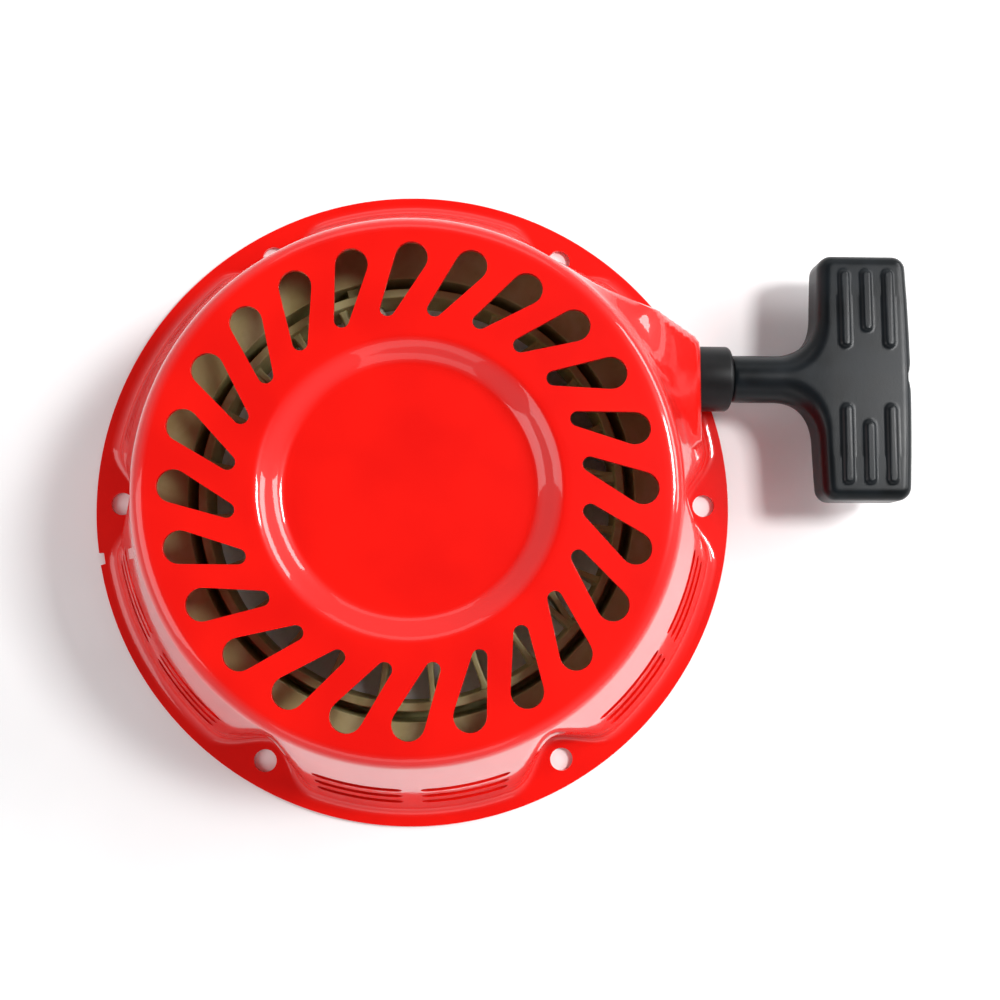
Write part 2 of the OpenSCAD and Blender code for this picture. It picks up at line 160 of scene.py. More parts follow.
# %% [markdown]
# ## Three ways of making a shape
# A turned part is an outline carried round an axis. A rope or a wire is a small section carried
# along a path. A moulded or pressed part whose faces flow into each other is easiest to say as a
# distance: a function that is negative inside the part and positive outside. Its skin is found on
# a grid of small cubes, one point in every cube that the surface crosses, and the points are then
# slid onto the surface exactly.

# %% Outlines with rounded corners, and turning them
def rounded(corners, steps=4):
    """Closed outline from corners (across, up, radius). Each corner becomes an arc that touches
    both its sides: a rational curve of second degree whose weight is the sine of half the
    corner's angle, which makes it a true circle."""
    corners = np.asarray(corners, float)
    p, r = corners[:, :2], np.maximum(corners[:, 2], 0.02)[:, None]
    u, v = np.roll(p, 1, 0) - p, np.roll(p, -1, 0) - p
    u, v = u / np.linalg.norm(u, axis=1)[:, None], v / np.linalg.norm(v, axis=1)[:, None]
    half = np.arccos(np.clip((u * v).sum(1), -1, 1))[:, None] / 2
    set_back = r / np.tan(np.maximum(half, 1e-3))
    a, b, weight = p + u * set_back, p + v * set_back, np.sin(half)
    t = np.linspace(0, 1, steps + 1)[None, :, None]
    share_a, share_p, share_b = (1 - t) ** 2, 2 * t * (1 - t) * weight[:, None], t**2
    top = share_a * a[:, None] + share_p * p[:, None] + share_b * b[:, None]
    return (top / (share_a + share_p + share_b)).reshape(-1, 2)


def turned(name, outline, steps=180, axis="z", centre=(0, 0, 0)):
    """A closed outline of (radius, height) carried round an axis through centre: a point at
    angle a is (radius cos a, radius sin a, height)."""
    outline = np.asarray(outline, float)
    angle = np.arange(steps)[:, None] * TURN / steps
    order = {"z": [0, 1, 2], "x": [2, 0, 1]}[axis]
    points = polar(outline[:, 0], angle, outline[:, 1])[..., order] + np.asarray(centre, float)
    return sew(as_object(name, points, grid_quads(steps, len(outline), True, True)))


# %% Skin of a solid given by a distance
def skin_of(name, distance, low, high, cell):
    """Closed mesh of the surface where distance(x, y, z) is zero. Each cube with corners both
    inside and outside gets one point, at the mean of the crossings on its twelve edges. Each
    grid edge that is crossed gets a quad between the four cubes round it. Then every point
    moves along the distance's gradient until the distance there is zero."""
    low = np.asarray(low, float)
    axes = [np.arange(a, b + cell, cell) for a, b in zip(low, high)]
    value = distance(*np.meshgrid(*axes, indexing="ij"))
    inside = value < 0
    cubes = tuple(n - 1 for n in value.shape)
    corner = list(itertools.product((0, 1), repeat=3))
    count = sum(inside[i:i + cubes[0], j:j + cubes[1], k:k + cubes[2]].astype(int)
                for i, j, k in corner)
    mixed = (count > 0) & (count < 8)
    number = np.full(cubes, -1)
    number[mixed] = np.arange(mixed.sum())
    base = np.argwhere(mixed)
    total, hits = np.zeros((len(base), 3)), np.zeros((len(base), 1))
    for start in corner:
        for axis in range(3):
            if start[axis]:
                continue
            end = tuple(c + (i == axis) for i, c in enumerate(start))
            a, b = value[tuple((base + start).T)], value[tuple((base + end).T)]
            cross = ((a < 0) != (b < 0))[:, None]
            share = (a / np.where(a == b, 1, a - b))[:, None]
            total += np.where(cross, np.asarray(start) + share * np.eye(3)[axis], 0)
            hits += cross
    points = low + cell * (base + total / hits)
    quads = []
    for axis in range(3):
        b, c = (axis + 1) % 3, (axis + 2) % 3
        here = np.take(inside, range(cubes[axis]), axis)
        there = np.take(inside, range(1, cubes[axis] + 1), axis)
        edge = np.argwhere(here != there)
        edge = edge[(edge[:, [b, c]] > 0).all(1) & (edge[:, b] < cubes[b]) & (edge[:, c] < cubes[c])]
        step_b, step_c = np.eye(3, dtype=int)[b], np.eye(3, dtype=int)[c]
        ring = [edge - step_b - step_c, edge - step_c, edge, edge - step_b]
        ring = np.stack([number[tuple(r.T)] for r in ring], -1)
        outward = here[tuple(edge.T)]
        quads.append(np.where(outward[:, None], ring, ring[:, ::-1]))
    nudge, slides = 0.02, 4
    for _ in range(slides):
        x, y, z = points.T
        slope = np.stack([distance(x + nudge, y, z) - distance(x - nudge, y, z),
                          distance(x, y + nudge, z) - distance(x, y - nudge, z),
                          distance(x, y, z + nudge) - distance(x, y, z - nudge)], -1) / (2 * nudge)
        push = distance(x, y, z)[:, None] * slope / np.maximum((slope**2).sum(1)[:, None], 0.25)
        points = points - np.clip(push, -cell / 2, cell / 2)
    return sew(as_object(name, points, np.concatenate(quads)), gap=cell * 0.02)


def soft_max(a, b, k):
    """The larger of two distances, with the corner between them rounded over a width k."""
    h = np.maximum(k - np.abs(a - b), 0) / k
    return np.maximum(a, b) + h * h * k / 4


def soft_min(a, b, k):
    """The smaller of two distances, with the corner between them filled over a width k."""
    return -soft_max(-a, -b, k)


def step_up(x, a, b):
    """0 below a, 1 above b, and a smooth cubic climb between them."""
    t = np.clip((x - a) / (b - a), 0, 1)
    return t * t * (3 - 2 * t)

# %% [markdown]
# ## Finishes
# Each finish starts from the real material: baked enamel on steel, moulded nylon, zinc plating
# with or without a yellow passivation, blued spring steel, sintered steel, polyester rope. Colours
# are written as the hex values that a paint chart would give and turned to linear light by one
# function. Patterns are measured in millimetres on the part, so Object coordinates (which are in
# metres) are multiplied by 1000 first.

# %% Colour and nodes
def paint(code):
    """sRGB hex value to linear red, green, blue and alpha."""
    c = np.array([int(code[i:i + 2], 16) for i in (1, 3, 5)]) / 255
    return (*np.where(c <= 0.04045, c / 12.92, ((c + 0.055) / 1.055) ** 2.4).tolist(), 1.0)


def wire(tree, made, inputs):
    """Links or sets a node's inputs. A socket is linked, a node is linked by its first output,
    and anything else is set as that input's value."""
    for key, value in inputs.items():
        if isinstance(value, bpy.types.Node):
            value = value.outputs[0]
        if isinstance(value, bpy.types.NodeSocket):
            tree.links.new(value, made.inputs[key])
        else:
            made.inputs[key].default_value = value


def node(tree, kind, inputs=None, stops=None, **settings):
    """Adds one node with its settings and its inputs. The stops are the (place, hex colour)
    pairs of a colour ramp."""
    made = tree.nodes.new(kind)
    for key, value in settings.items():
        setattr(made, key, value)
    if stops:
        ramp = made.color_ramp
        while len(ramp.elements) < len(stops):
            ramp.elements.new(0.5)
        for element, (place, code) in zip(ramp.elements, stops):
            element.position, element.color = place, paint(code)
    wire(tree, made, inputs or {})
    return made


def finish(name, **constants):
    """A new material: returns it with its node tree, its shader and Object coordinates in mm."""
    made = bpy.data.materials.new(name)
    made.use_nodes = True
    tree = made.node_tree
    shader = tree.nodes["Principled BSDF"]
    wire(tree, shader, {key.replace("_", " "): value for key, value in constants.items()})
    place = node(tree, "ShaderNodeTexCoord").outputs["Object"]
    mm = node(tree, "ShaderNodeVectorMath", {0: place, 1: (1 / MM,) * 3}, operation="MULTIPLY")
    return made, tree, shader, mm


def lumps(size):
    """Scale of a noise on millimetre coordinates whose lumps are that many millimetres across."""
    return 1.0 / size


# A Mix node keeps the sockets of every data type: these are the colour ones.
MIX_SHARE, MIX_UNDER, MIX_OVER, MIXED = 0, 6, 7, 2


# %% Red enamel
# Stove enamel on pressed steel: a saturated pigment under a hard gloss skin. The eye sees a flat
# strong red, a sharp white highlight wherever the sheet bends, and faint orange peel about 3 mm
# across inside those highlights.
red_enamel, tree, shader, mm = finish("red_stove_enamel", Roughness=0.34, IOR=1.5,
                                      Specular_IOR_Level=0.15, Coat_Weight=1.0,
                                      Coat_Roughness=0.05, Coat_IOR=1.46)
cloud = node(tree, "ShaderNodeTexNoise", {"Vector": mm, "Scale": lumps(28), "Detail": 2.0})
tone = node(tree, "ShaderNodeValToRGB", {"Fac": cloud}, [(0.35, "#DC0D06"), (0.65, "#E81208")])
dust = node(tree, "ShaderNodeTexNoise", {"Vector": mm, "Scale": lumps(0.7), "Detail": 3.0})
specks = node(tree, "ShaderNodeMapRange", {"Value": dust, "From Min": 0.72, "From Max": 0.8,
                                           "To Max": 0.25})
dusted = node(tree, "ShaderNodeMix", {MIX_SHARE: specks, MIX_UNDER: tone,
                                      MIX_OVER: paint("#B4342A")}, data_type="RGBA")
peel = node(tree, "ShaderNodeTexNoise", {"Vector": mm, "Scale": lumps(3.0), "Detail": 1.0})
bump = node(tree, "ShaderNodeBump", {"Height": peel, "Strength": 0.06, "Distance": 0.0003})
wire(tree, shader, {"Base Color": dusted.outputs[MIXED], "Normal": bump, "Coat Normal": bump})
print("red enamel made")

# %% Khaki nylon
# Glass-filled nylon as moulded: a satin skin with soft highlights, cloudy flow marks some 15 mm
# long, a fine grain, and a little darkening where grease and dust settle.
khaki_nylon, tree, shader, mm = finish("khaki_moulded_nylon", IOR=1.53, Subsurface_Weight=0.04,
                                       Subsurface_Scale=0.002)
flow = node(tree, "ShaderNodeTexNoise", {"Vector": mm, "Scale": lumps(15), "Detail": 3.0,
                                         "Distortion": 0.8})
tone = node(tree, "ShaderNodeValToRGB", {"Fac": flow},
            [(0.3, "#ABA26C"), (0.55, "#BCB581"), (0.75, "#C9C396")])
grease = node(tree, "ShaderNodeTexNoise", {"Vector": mm, "Scale": lumps(4), "Detail": 4.0})
smear = node(tree, "ShaderNodeMapRange", {"Value": grease, "From Min": 0.58, "From Max": 0.8,
                                          "To Max": 0.35})
greasy = node(tree, "ShaderNodeMix", {MIX_SHARE: smear, MIX_UNDER: tone,
                                      MIX_OVER: paint("#8F8654")}, data_type="RGBA")
satin = node(tree, "ShaderNodeMapRange", {"Value": flow, "To Min": 0.36, "To Max": 0.52})
grain = node(tree, "ShaderNodeTexNoise", {"Vector": mm, "Scale": lumps(0.5), "Detail": 2.0})
bump = node(tree, "ShaderNodeBump", {"Height": grain, "Strength": 0.12, "Distance": 0.0002})
wire(tree, shader, {"Base Color": greasy.outputs[MIXED], "Roughness": satin, "Normal": bump})
print("khaki nylon made")

# %% Yellow zinc
# Zinc plate with a yellow chromate film. The film is thinner than a wavelength of light, so its
# colour drifts from straw through green to rose over 8 to 20 mm, and the rolled sheet under it
# shows streaks.
yellow_zinc, tree, shader, mm = finish("yellow_passivated_zinc", Metallic=1.0)
drift = node(tree, "ShaderNodeTexNoise", {"Vector": mm, "Scale": lumps(17), "Detail": 1.5,
                                          "Distortion": 0.5})
film = node(tree, "ShaderNodeValToRGB", {"Fac": drift},
            [(0.3, "#BDC08A"), (0.45, "#CDC285"), (0.55, "#D8CC93"), (0.66, "#D3BC8D"),
             (0.75, "#CBAF8E"), (0.85, "#C4C290")])
rolled = node(tree, "ShaderNodeMapping", {"Vector": mm, "Rotation": (0, 0, 0.6),
                                          "Scale": (1 / 12, 1 / 0.8, 1 / 6)})
streak = node(tree, "ShaderNodeTexNoise", {"Vector": rolled, "Scale": 1.0, "Detail": 3.0})
cloudy = node(tree, "ShaderNodeMapRange", {"Value": streak, "From Min": 0.3, "From Max": 0.7,
                                           "To Min": 0.22, "To Max": 0.42})
bump = node(tree, "ShaderNodeBump", {"Height": streak, "Strength": 0.1, "Distance": 0.0002})
wire(tree, shader, {"Base Color": film, "Roughness": cloudy, "Normal": bump})
print("yellow zinc made")

# %% Other metals
# Bright zinc is bluish white with soft spangle; blued spring steel is dark with a brown-blue
# cast; the sintered pawls are dull and slightly pitted.
def plain_metal(name, dark, light, size, rough_low, rough_high, relief):
    """A metal whose tone and roughness drift together over lumps of the given size."""
    made, tree, shader, mm = finish(name, Metallic=1.0)
    drift = node(tree, "ShaderNodeTexNoise", {"Vector": mm, "Scale": lumps(size), "Detail": 4.0})
    tone = node(tree, "ShaderNodeValToRGB", {"Fac": drift}, [(0.35, dark), (0.65, light)])
    dull = node(tree, "ShaderNodeMapRange", {"Value": drift, "To Min": rough_low,
                                             "To Max": rough_high})
    bump = node(tree, "ShaderNodeBump", {"Height": drift, "Strength": relief, "Distance": 0.0003})
    wire(tree, shader, {"Base Color": tone, "Roughness": dull, "Normal": bump})
    return made


bright_zinc = plain_metal("bright_zinc_plate", "#BEC6CE", "#E6EBF0", 2.5, 0.18, 0.38, 0.08)
spring_steel = plain_metal("blued_spring_steel", "#2E3138", "#565A63", 6.0, 0.25, 0.42, 0.05)
pawl_steel = plain_metal("sintered_steel", "#6C6A66", "#8F8D88", 0.8, 0.42, 0.62, 0.2)
print("metals made")

# %% Black plastics
# The grip is moulded in a spark-eroded tool, which leaves an even grain of about 0.4 mm; the
# eyelet in the housing is smoother nylon.
def black_plastic(name, dark, light, grain_mm, relief, roughness):
    """A black moulding: two near-black tones in soft clouds, under an even moulded grain. Its
    roughness drifts by a little to either side of the given one."""
    drift = 0.08
    made, tree, shader, mm = finish(name, IOR=1.49, Specular_IOR_Level=0.22)
    cloud = node(tree, "ShaderNodeTexNoise", {"Vector": mm, "Scale": lumps(9), "Detail": 3.0})
    tone = node(tree, "ShaderNodeValToRGB", {"Fac": cloud}, [(0.3, dark), (0.7, light)])
    worn = node(tree, "ShaderNodeMapRange", {"Value": cloud, "To Min": roughness - drift,
                                             "To Max": roughness + drift})
    grain = node(tree, "ShaderNodeTexNoise", {"Vector": mm, "Scale": lumps(grain_mm), "Detail": 1.0})
    bump = node(tree, "ShaderNodeBump", {"Height": grain, "Strength": relief, "Distance": 0.00004})
    wire(tree, shader, {"Base Color": tone, "Roughness": worn, "Normal": bump})
    return made


grip_plastic = black_plastic("black_grained_polypropylene", "#0B0E10", "#12171B", 0.45, 0.25, 0.32)
black_nylon = black_plastic("black_nylon", "#0F0F10", "#1A1A1B", 0.8, 0.12, 0.42)
print("black plastics made")

# %% Rope and stamp ink
# Braided polyester: off-white, matt, with fibres of about 0.3 mm (drawn coarser than they are)
# and painted shade in the valleys between strands, which the mesh carries as the attribute "valley".
braided_rope, tree, shader, mm = finish("braided_polyester", Roughness=0.85, Sheen_Weight=0.3,
                                        Sheen_Roughness=0.5)
valley = node(tree, "ShaderNodeAttribute", attribute_name="valley")
soil = node(tree, "ShaderNodeTexNoise", {"Vector": mm, "Scale": lumps(9), "Detail": 3.0})
tone = node(tree, "ShaderNodeValToRGB", {"Fac": soil}, [(0.35, "#DED8C6"), (0.6, "#EEEADF")])
# painted shade: the colour darkens towards #B3AA90 in the braid's valleys, where shade falls
tone_and_valley_shade = node(tree, "ShaderNodeMix", {MIX_SHARE: valley.outputs["Fac"], MIX_UNDER: tone,
                                      MIX_OVER: paint("#B3AA90")}, data_type="RGBA")
fibre = node(tree, "ShaderNodeTexNoise", {"Vector": mm, "Scale": lumps(0.35), "Detail": 1.0})
bump = node(tree, "ShaderNodeBump", {"Height": fibre, "Strength": 0.4, "Distance": 0.0002})
wire(tree, shader, {"Base Color": tone_and_valley_shade.outputs[MIXED], "Normal": bump})

# The inspection stamp is a thick red ink that has dried in patches.
stamp_ink, tree, shader, mm = finish("red_stamp_ink", Roughness=0.6)
patchy = node(tree, "ShaderNodeTexNoise", {"Vector": mm, "Scale": lumps(1.2), "Detail": 4.0})
tone = node(tree, "ShaderNodeValToRGB", {"Fac": patchy},
            [(0.35, "#D6402E"), (0.6, "#C22A1C"), (0.75, "#D98C5A")])
wire(tree, shader, {"Base Color": tone})
print("rope and ink made")

# %% [markdown]
# ## The housing's wall as a function
# The housing is drawn from one steel sheet. Going out from its axis it has a shallow dish, a flat
# crown, a tight bend, a leaning wall and a flange. The wall isn't round: beside each mounting hole
# the tool pushes it in to make room for a screw head, and on one side it bulges out into a box
# with a flat face for the rope. Blending the three radii with soft minimum and maximum gives the
# large radii that pressed steel has.

# %% Radius of the wall
FLANGE_R, SHEET, CROWN_Z, DISH_Z = 100.0, 1.5, 58.0, 53.0
BEND_R, BEND_CENTRE, DRAFT = 5.0, (71.0, 53.0), math.radians(19.5)
EXIT_X, ROPE_Y, ROPE_Z = 86.1, 38.0, 18.0
BOLTS, BOLT_CIRCLE, BOLT_HOLE, HOLLOW_R = 6, 92.0, 3.5, 6.0
BOX_FADES = (49.0, 54.4)
COLUMNS = 288
STEP = TURN / COLUMNS


def wall_radius(angle, z):
    """Radius of the wall at an angle and a height. The plain wall is a cone. Beside a mounting
    hole it is cut by a hollow whose depth follows a hyperbola across the hole. The rope's box is
    the part of the plane under four tilted planes, each as far out as its distance from the axis
    divided by the cosine of the angle to its normal."""
    cone = BEND_CENTRE[0] + BEND_R / math.cos(DRAFT) + (BEND_CENTRE[1] - z) * math.tan(DRAFT)
    beside = (angle + TURN / 12) % (TURN / 6) - TURN / 12
    dip = np.sqrt(HOLLOW_R**2 + (BOLT_CIRCLE * np.sin(beside)) ** 2)
    hollow = (84 - 0.1 * z + dip - HOLLOW_R) / np.cos(beside)
    wall = soft_min(cone, hollow, 5.0)
    # each plane: the direction it faces, and its distance from the axis at the height
    planes = [(1.0, 0.0, EXIT_X + 0 * z), (0.355, 0.935, 77.8 - 0.09 * z),
              (0.304, -0.953, 7.58 - 0.215 * z), (0.76, 0.0, 85.6 - 0.65 * z)]
    far, edge_on, box = 400.0, 0.12, 400.0
    for a, b, distance in planes:
        toward = a * np.cos(angle) + b * np.sin(angle)
        reach = np.where(toward > edge_on, distance / np.maximum(toward, edge_on), far)
        box = soft_min(box, reach, 3.0)
    side = (angle - TURN / 12 + TURN / 2) % TURN - TURN / 2
    box = np.where(np.abs(side) < math.radians(45), box, 0.0)
    return wall + (soft_max(wall, box, 3.0) - wall) * (1 - step_up(z, *BOX_FADES))


def on_wall(angle, z):
    """Points of the wall at given angles and heights."""
    return polar(wall_radius(angle, z), angle, z)


print("wall radius at the foot, in mm:", wall_radius(np.radians([0, 30, 90]), 2.0).round(1))

# %% [markdown]
# ## Holes in a patchwork of quads
# The sheet has 24 drop-shaped vents, 30 slots, six screw holes and the rope's hole. Cutting them
# out of a finished surface leaves ragged triangles that catch the light. Here the surface is laid
# out as a patchwork instead: each hole sits in a cell of its own, whose outline has as many
# points as the hole's outline, and a few rings of quads lead from one to the other.

# %% Cells with holes
def cell_edge(u0, u1, v0, v1, along, across):
    """Outline of a cell in two coordinates: along its far side, back down its right side, along
    the near side and up its left side, with that many steps on each."""
    u, v = np.linspace(u0, u1, along + 1), np.linspace(v0, v1, across + 1)
    sides = (u[:-1], v1), (u1, v[:0:-1]), (u[:0:-1], v0), (u0, v[:-1])
    return np.concatenate([np.stack(np.broadcast_arrays(*side), -1) for side in sides])


def rings_between(hole, edge, shares=(0, 0.1, 0.3, 0.6, 1)):
    """Rings that go from a hole's outline to a cell's outline by the given shares."""
    share = np.asarray(shares)[:, None, None]
    return (1 - share) * hole + share * edge


def arc(centre, radius, a0, a1, steps):
    """Points of an arc, without its last one."""
    return np.asarray(centre) + polar(radius, a0 + (a1 - a0) * np.arange(steps) / steps)


def line(a, b, steps):
    """Points of a straight line, without its last one."""
    return np.asarray(a) + (np.asarray(b) - a) * np.arange(steps)[:, None] / steps


def at_height(flat, z):
    """Flat points, all laid at one height."""
    return np.concatenate([flat, np.full((*flat.shape[:-1], 1), z)], -1)


def round_hole(edge, centre, radius):
    """A circle with one point for each point of the cell's outline: half way between facing that
    point and being evenly spaced."""
    away = edge - centre
    facing = np.unwrap(np.arctan2(away[:, 1], away[:, 0]))
    even = facing[0] + np.sign(facing[-1] - facing[0]) * TURN * np.arange(len(edge)) / len(edge)
    even += (facing - even).mean()
    return centre + polar(radius, (facing + even) / 2)


class Patchwork:
    """Collects patches of points and their quads until they are sewn into one sheet."""

    def __init__(self):
        self.points, self.quads, self.count = [], [], 0

    def add(self, grid, closed=False):
        """Takes a grid of points; a closed one joins its last column to its first."""
        rows, columns = grid.shape[:2]
        self.quads.append(grid_quads(rows, columns, False, closed, self.count))
        self.points.append(grid.reshape(-1, 3))
        self.count += rows * columns


shell = Patchwork()
round_angles = np.arange(COLUMNS) * STEP

# %% Dish, crown and bend
# The dish's slope and the bend at the crown's edge are what catch the two long highlights.
VENTS_IN, VENTS_OUT, SLOPE = 46.0, 69.5, (34.0, 42.6)
dish_r = np.concatenate([[3, 9, 16, 23, 29, 32.5], np.linspace(*SLOPE, 13), [44.2, VENTS_IN]])
dish_z = DISH_Z + (CROWN_Z - DISH_Z) * step_up(dish_r, *SLOPE)
bend = np.linspace(math.pi / 2, DRAFT, 9)
bend_r = np.concatenate([[VENTS_OUT], BEND_CENTRE[0] + BEND_R * np.cos(bend)])
bend_z = np.concatenate([[CROWN_Z], BEND_CENTRE[1] + BEND_R * np.sin(bend)])
for r, z in ((dish_r, dish_z), (bend_r, bend_z)):
    shell.add(polar(r[:, None], round_angles, z[:, None]), True)

# a vent's two ends are round: each has its distance from the axis and its radius
VENTS, VENT_STEPS, VENT_LEAN = 24, 10, math.radians(7.5)
(BIG_AT, BIG_R), (SMALL_AT, SMALL_R) = (63.5, 4.5), (49.5, 2.1)
cell = COLUMNS // VENTS
outline = cell_edge(-cell / 2, cell / 2, VENTS_IN, VENTS_OUT, cell, VENT_STEPS)
# the cell's sides lean with the vent: 7 columns ahead at its inner end, 2 behind at its outer end
lean = 7 - 9 * (outline[:, 1] - VENTS_IN) / (VENTS_OUT - VENTS_IN)
for i in range(VENTS):
    at = TURN * i / VENTS
    edge = polar(outline[:, 1], at + (outline[:, 0] + lean) * STEP)
    big, small = polar(BIG_AT, at), polar(SMALL_AT, at + VENT_LEAN)
    way = big - small
    heading = math.atan2(way[1], way[0])
    lift = math.pi / 2 + math.asin((BIG_R - SMALL_R) / math.hypot(*way))
    outer = arc(big, BIG_R, heading - lift, heading + lift, cell)
    inner = arc(small, SMALL_R, heading + lift, heading + TURN - lift, cell)
    down = line(big + polar(BIG_R, heading + lift), inner[0], VENT_STEPS)
    up = line(small + polar(SMALL_R, heading - lift), outer[0], VENT_STEPS)
    flat = rings_between(np.concatenate([outer, down, inner, up]), edge)
    shell.add(at_height(flat, CROWN_Z), True)
print("crown:", shell.count, "points")

# %% Wall, slots and the rope's hole
# Each of five sides has two columns of three slots. A slot is cut straight across its side, so
# its outline is flat in a plane and is carried onto the wall by the angle whose sine is the
# distance across over the radius.
SLOT_LENGTH, SLOT_WIDTH, SLOT_BRIDGE, SLOT_COLUMNS = 26.0, 4.0, 5.5, 17
ROWS_TOP, ROWS_FOOT, ROW = 32, 8, 8
upper = np.array([BEND_CENTRE[1] + BEND_R * math.sin(DRAFT), 53, 51.5, 50, 48, 46, 44, 42, 40, 38,
                  36.5, 35, 34, 33, ROWS_TOP])
lower = np.array([ROWS_FOOT, 7, 6, 5])
for rows in (upper, lower):
    shell.add(on_wall(round_angles, rows[:, None]), True)

end_r, quarter = SLOT_WIDTH / 2, math.pi / 2
cap = SLOT_LENGTH / 2 - end_r
slot = np.concatenate([
    line((-cap, end_r), (cap, end_r), SLOT_COLUMNS),
    arc((cap, 0), end_r, quarter, -quarter, ROW),
    line((cap, -end_r), (-cap, -end_r), SLOT_COLUMNS),
    arc((-cap, 0), end_r, -quarter, -3 * quarter, ROW)])
SIDE = COLUMNS // BOLTS
sides = [SIDE * 3 // 2 + SIDE * i for i in range(5)]
for side, hand, foot in itertools.product(sides, (-1, 1), range(ROWS_FOOT, ROWS_TOP, ROW)):
    first = side + min(hand, 0) * SLOT_COLUMNS
    edge = cell_edge(first * STEP, (first + SLOT_COLUMNS) * STEP, foot, foot + ROW, SLOT_COLUMNS, ROW)
    across, z = slot[:, 0] + hand * (SLOT_LENGTH + SLOT_BRIDGE) / 2, slot[:, 1] + foot + ROW / 2
    # the angle and the radius depend on each other, so they are found by turns from a guess
    angle = side * STEP + across / 88
    for _ in range(4):
        angle = side * STEP + np.arcsin(across / wall_radius(angle, z))
    both = rings_between(np.stack([angle, z], -1), edge, (0, 0.16, 0.5, 1))
    shell.add(on_wall(both[..., 0], both[..., 1]), True)

EXIT_FIRST, EXIT_LAST, EXIT_TOP, EXIT_R = 13, 25, 28, 7.1
edge = cell_edge(EXIT_FIRST * STEP, EXIT_LAST * STEP, ROWS_FOOT, EXIT_TOP, EXIT_LAST - EXIT_FIRST,
                 EXIT_TOP - ROWS_FOOT)
on_plane = on_wall(edge[:, 0], edge[:, 1])[:, 1:]
hole = round_hole(on_plane, np.array([ROPE_Y, ROPE_Z]), EXIT_R)
hole = np.stack([np.arctan2(hole[:, 0], EXIT_X), hole[:, 1]], -1)
both = rings_between(hole, edge)
shell.add(on_wall(both[..., 0], both[..., 1]), True)


def plain_wall(first, last, foot=ROWS_FOOT):
    """The wall between two columns, in rows a millimetre apart."""
    rows = np.arange(ROWS_TOP, foot - 1, -1.0)[:, None]
    shell.add(on_wall(np.arange(first, last + 1) * STEP, rows))


for side in sides[:-1]:
    plain_wall(side + SLOT_COLUMNS, side + SIDE - SLOT_COLUMNS)
plain_wall(sides[-1] + SLOT_COLUMNS, COLUMNS + EXIT_FIRST)
plain_wall(EXIT_LAST, sides[0] - SLOT_COLUMNS)
plain_wall(EXIT_FIRST, EXIT_LAST, foot=EXIT_TOP)
print("wall:", shell.count, "points")

# %% Foot and flange
# The wall runs into the flange through a bend of 3.5 mm. The flange has six screw holes and one
# small notch that shows the press which way round the blank lies.
FOOT_BEND, FLANGE_STEPS, NOTCH_COLUMN, NOTCH_R = 3.5, 8, 152, 98.5
NOTCH_SHIFTS = np.array([0.0, -0.2, -1.12])


def foot_radius(angle):
    """Radius where the bend at the wall's foot meets the flat flange."""
    foot = np.minimum(wall_radius(angle, SHEET), FLANGE_R - 0.9)
    return foot + np.minimum(FOOT_BEND, 0.6 * (FLANGE_R - foot))


def on_flange(column, out):
    """Points of the flange at a column and a share of the way out, in the plane of the sheet.
    Near the notch the outer edge is pulled in and its columns close up to make square sides."""
    near = column - NOTCH_COLUMN
    edge_r = np.where(np.abs(near) < 1.5, NOTCH_R, FLANGE_R)
    shift = NOTCH_SHIFTS[np.minimum(np.abs(near), 2).astype(int)] * np.sign(near)
    shift = np.where(np.abs(near) < 2.5, shift, 0.0)
    r = foot_radius(column * STEP)
    return polar(r + (edge_r - r) * out, column * STEP + shift * STEP * out**2)


# the bend is a curve of second degree from the wall's last row, past its corner, to the flange
t = np.linspace(0, 1, 7)[:, None]
wall_end, flat_r = wall_radius(round_angles, lower[-1]), foot_radius(round_angles)
corner_r = np.minimum(wall_radius(round_angles, SHEET), flat_r)
r = (1 - t) ** 2 * wall_end + 2 * t * (1 - t) * corner_r + t**2 * flat_r
z = (1 - t) ** 2 * lower[-1] + (1 - (1 - t) ** 2) * SHEET
shell.add(polar(r, round_angles, z), True)

HOLE_HALF = 4
out = np.linspace(0, 1, FLANGE_STEPS + 1)
for column in range(0, COLUMNS, SIDE):
    edge = cell_edge(column - HOLE_HALF, column + HOLE_HALF, 0, 1, 2 * HOLE_HALF, FLANGE_STEPS)
    edge = on_flange(edge[:, 0], edge[:, 1])
    hole = round_hole(edge, polar(BOLT_CIRCLE, column * STEP), BOLT_HOLE)
    shell.add(at_height(rings_between(hole, edge), SHEET), True)
    u, v = np.meshgrid(np.arange(column + HOLE_HALF, column + SIDE - HOLE_HALF + 1, dtype=float), out)
    shell.add(at_height(on_flange(u, v), SHEET))

# %% Sewing the sheet and giving it its thickness
# the dish's first ring is closed by a fan round one point on the axis
housing = as_object("housing", np.concatenate(shell.points + [[[0, 0, DISH_Z]]]),
                    np.concatenate(shell.quads), fan(np.arange(COLUMNS), shell.count))
sew(housing)
crown_faces = [p for p in housing.data.polygons if p.center.z > (CROWN_Z - 0.5) * MM]
if crown_faces[0].normal.z < 0:
    housing.data.flip_normals()
thick = housing.modifiers.new("sheet thickness", "SOLIDIFY")
thick.thickness, thick.offset = SHEET * MM, -1
smooth(housing)
bevel(housing, 0.55, angle=40)
set_modifiers(housing)
dress(housing, red_enamel, "red_enamel_steel", "housing", "housing_shell")
print("housing:", len(housing.data.polygons), "faces")

# %% [markdown]
# ## The reel
# The reel is one nylon moulding: an outer drum with the rope's groove, a cup for the pawls, a
# pocket for the spring, and thin ribs between cup and drum. The round parts are outlines turned
# about the axis. The ribs are slabs that swell where they meet a wall, as a mould-maker's fillets
# do. A Boolean then makes one skin of them all and cuts the notches and holes.

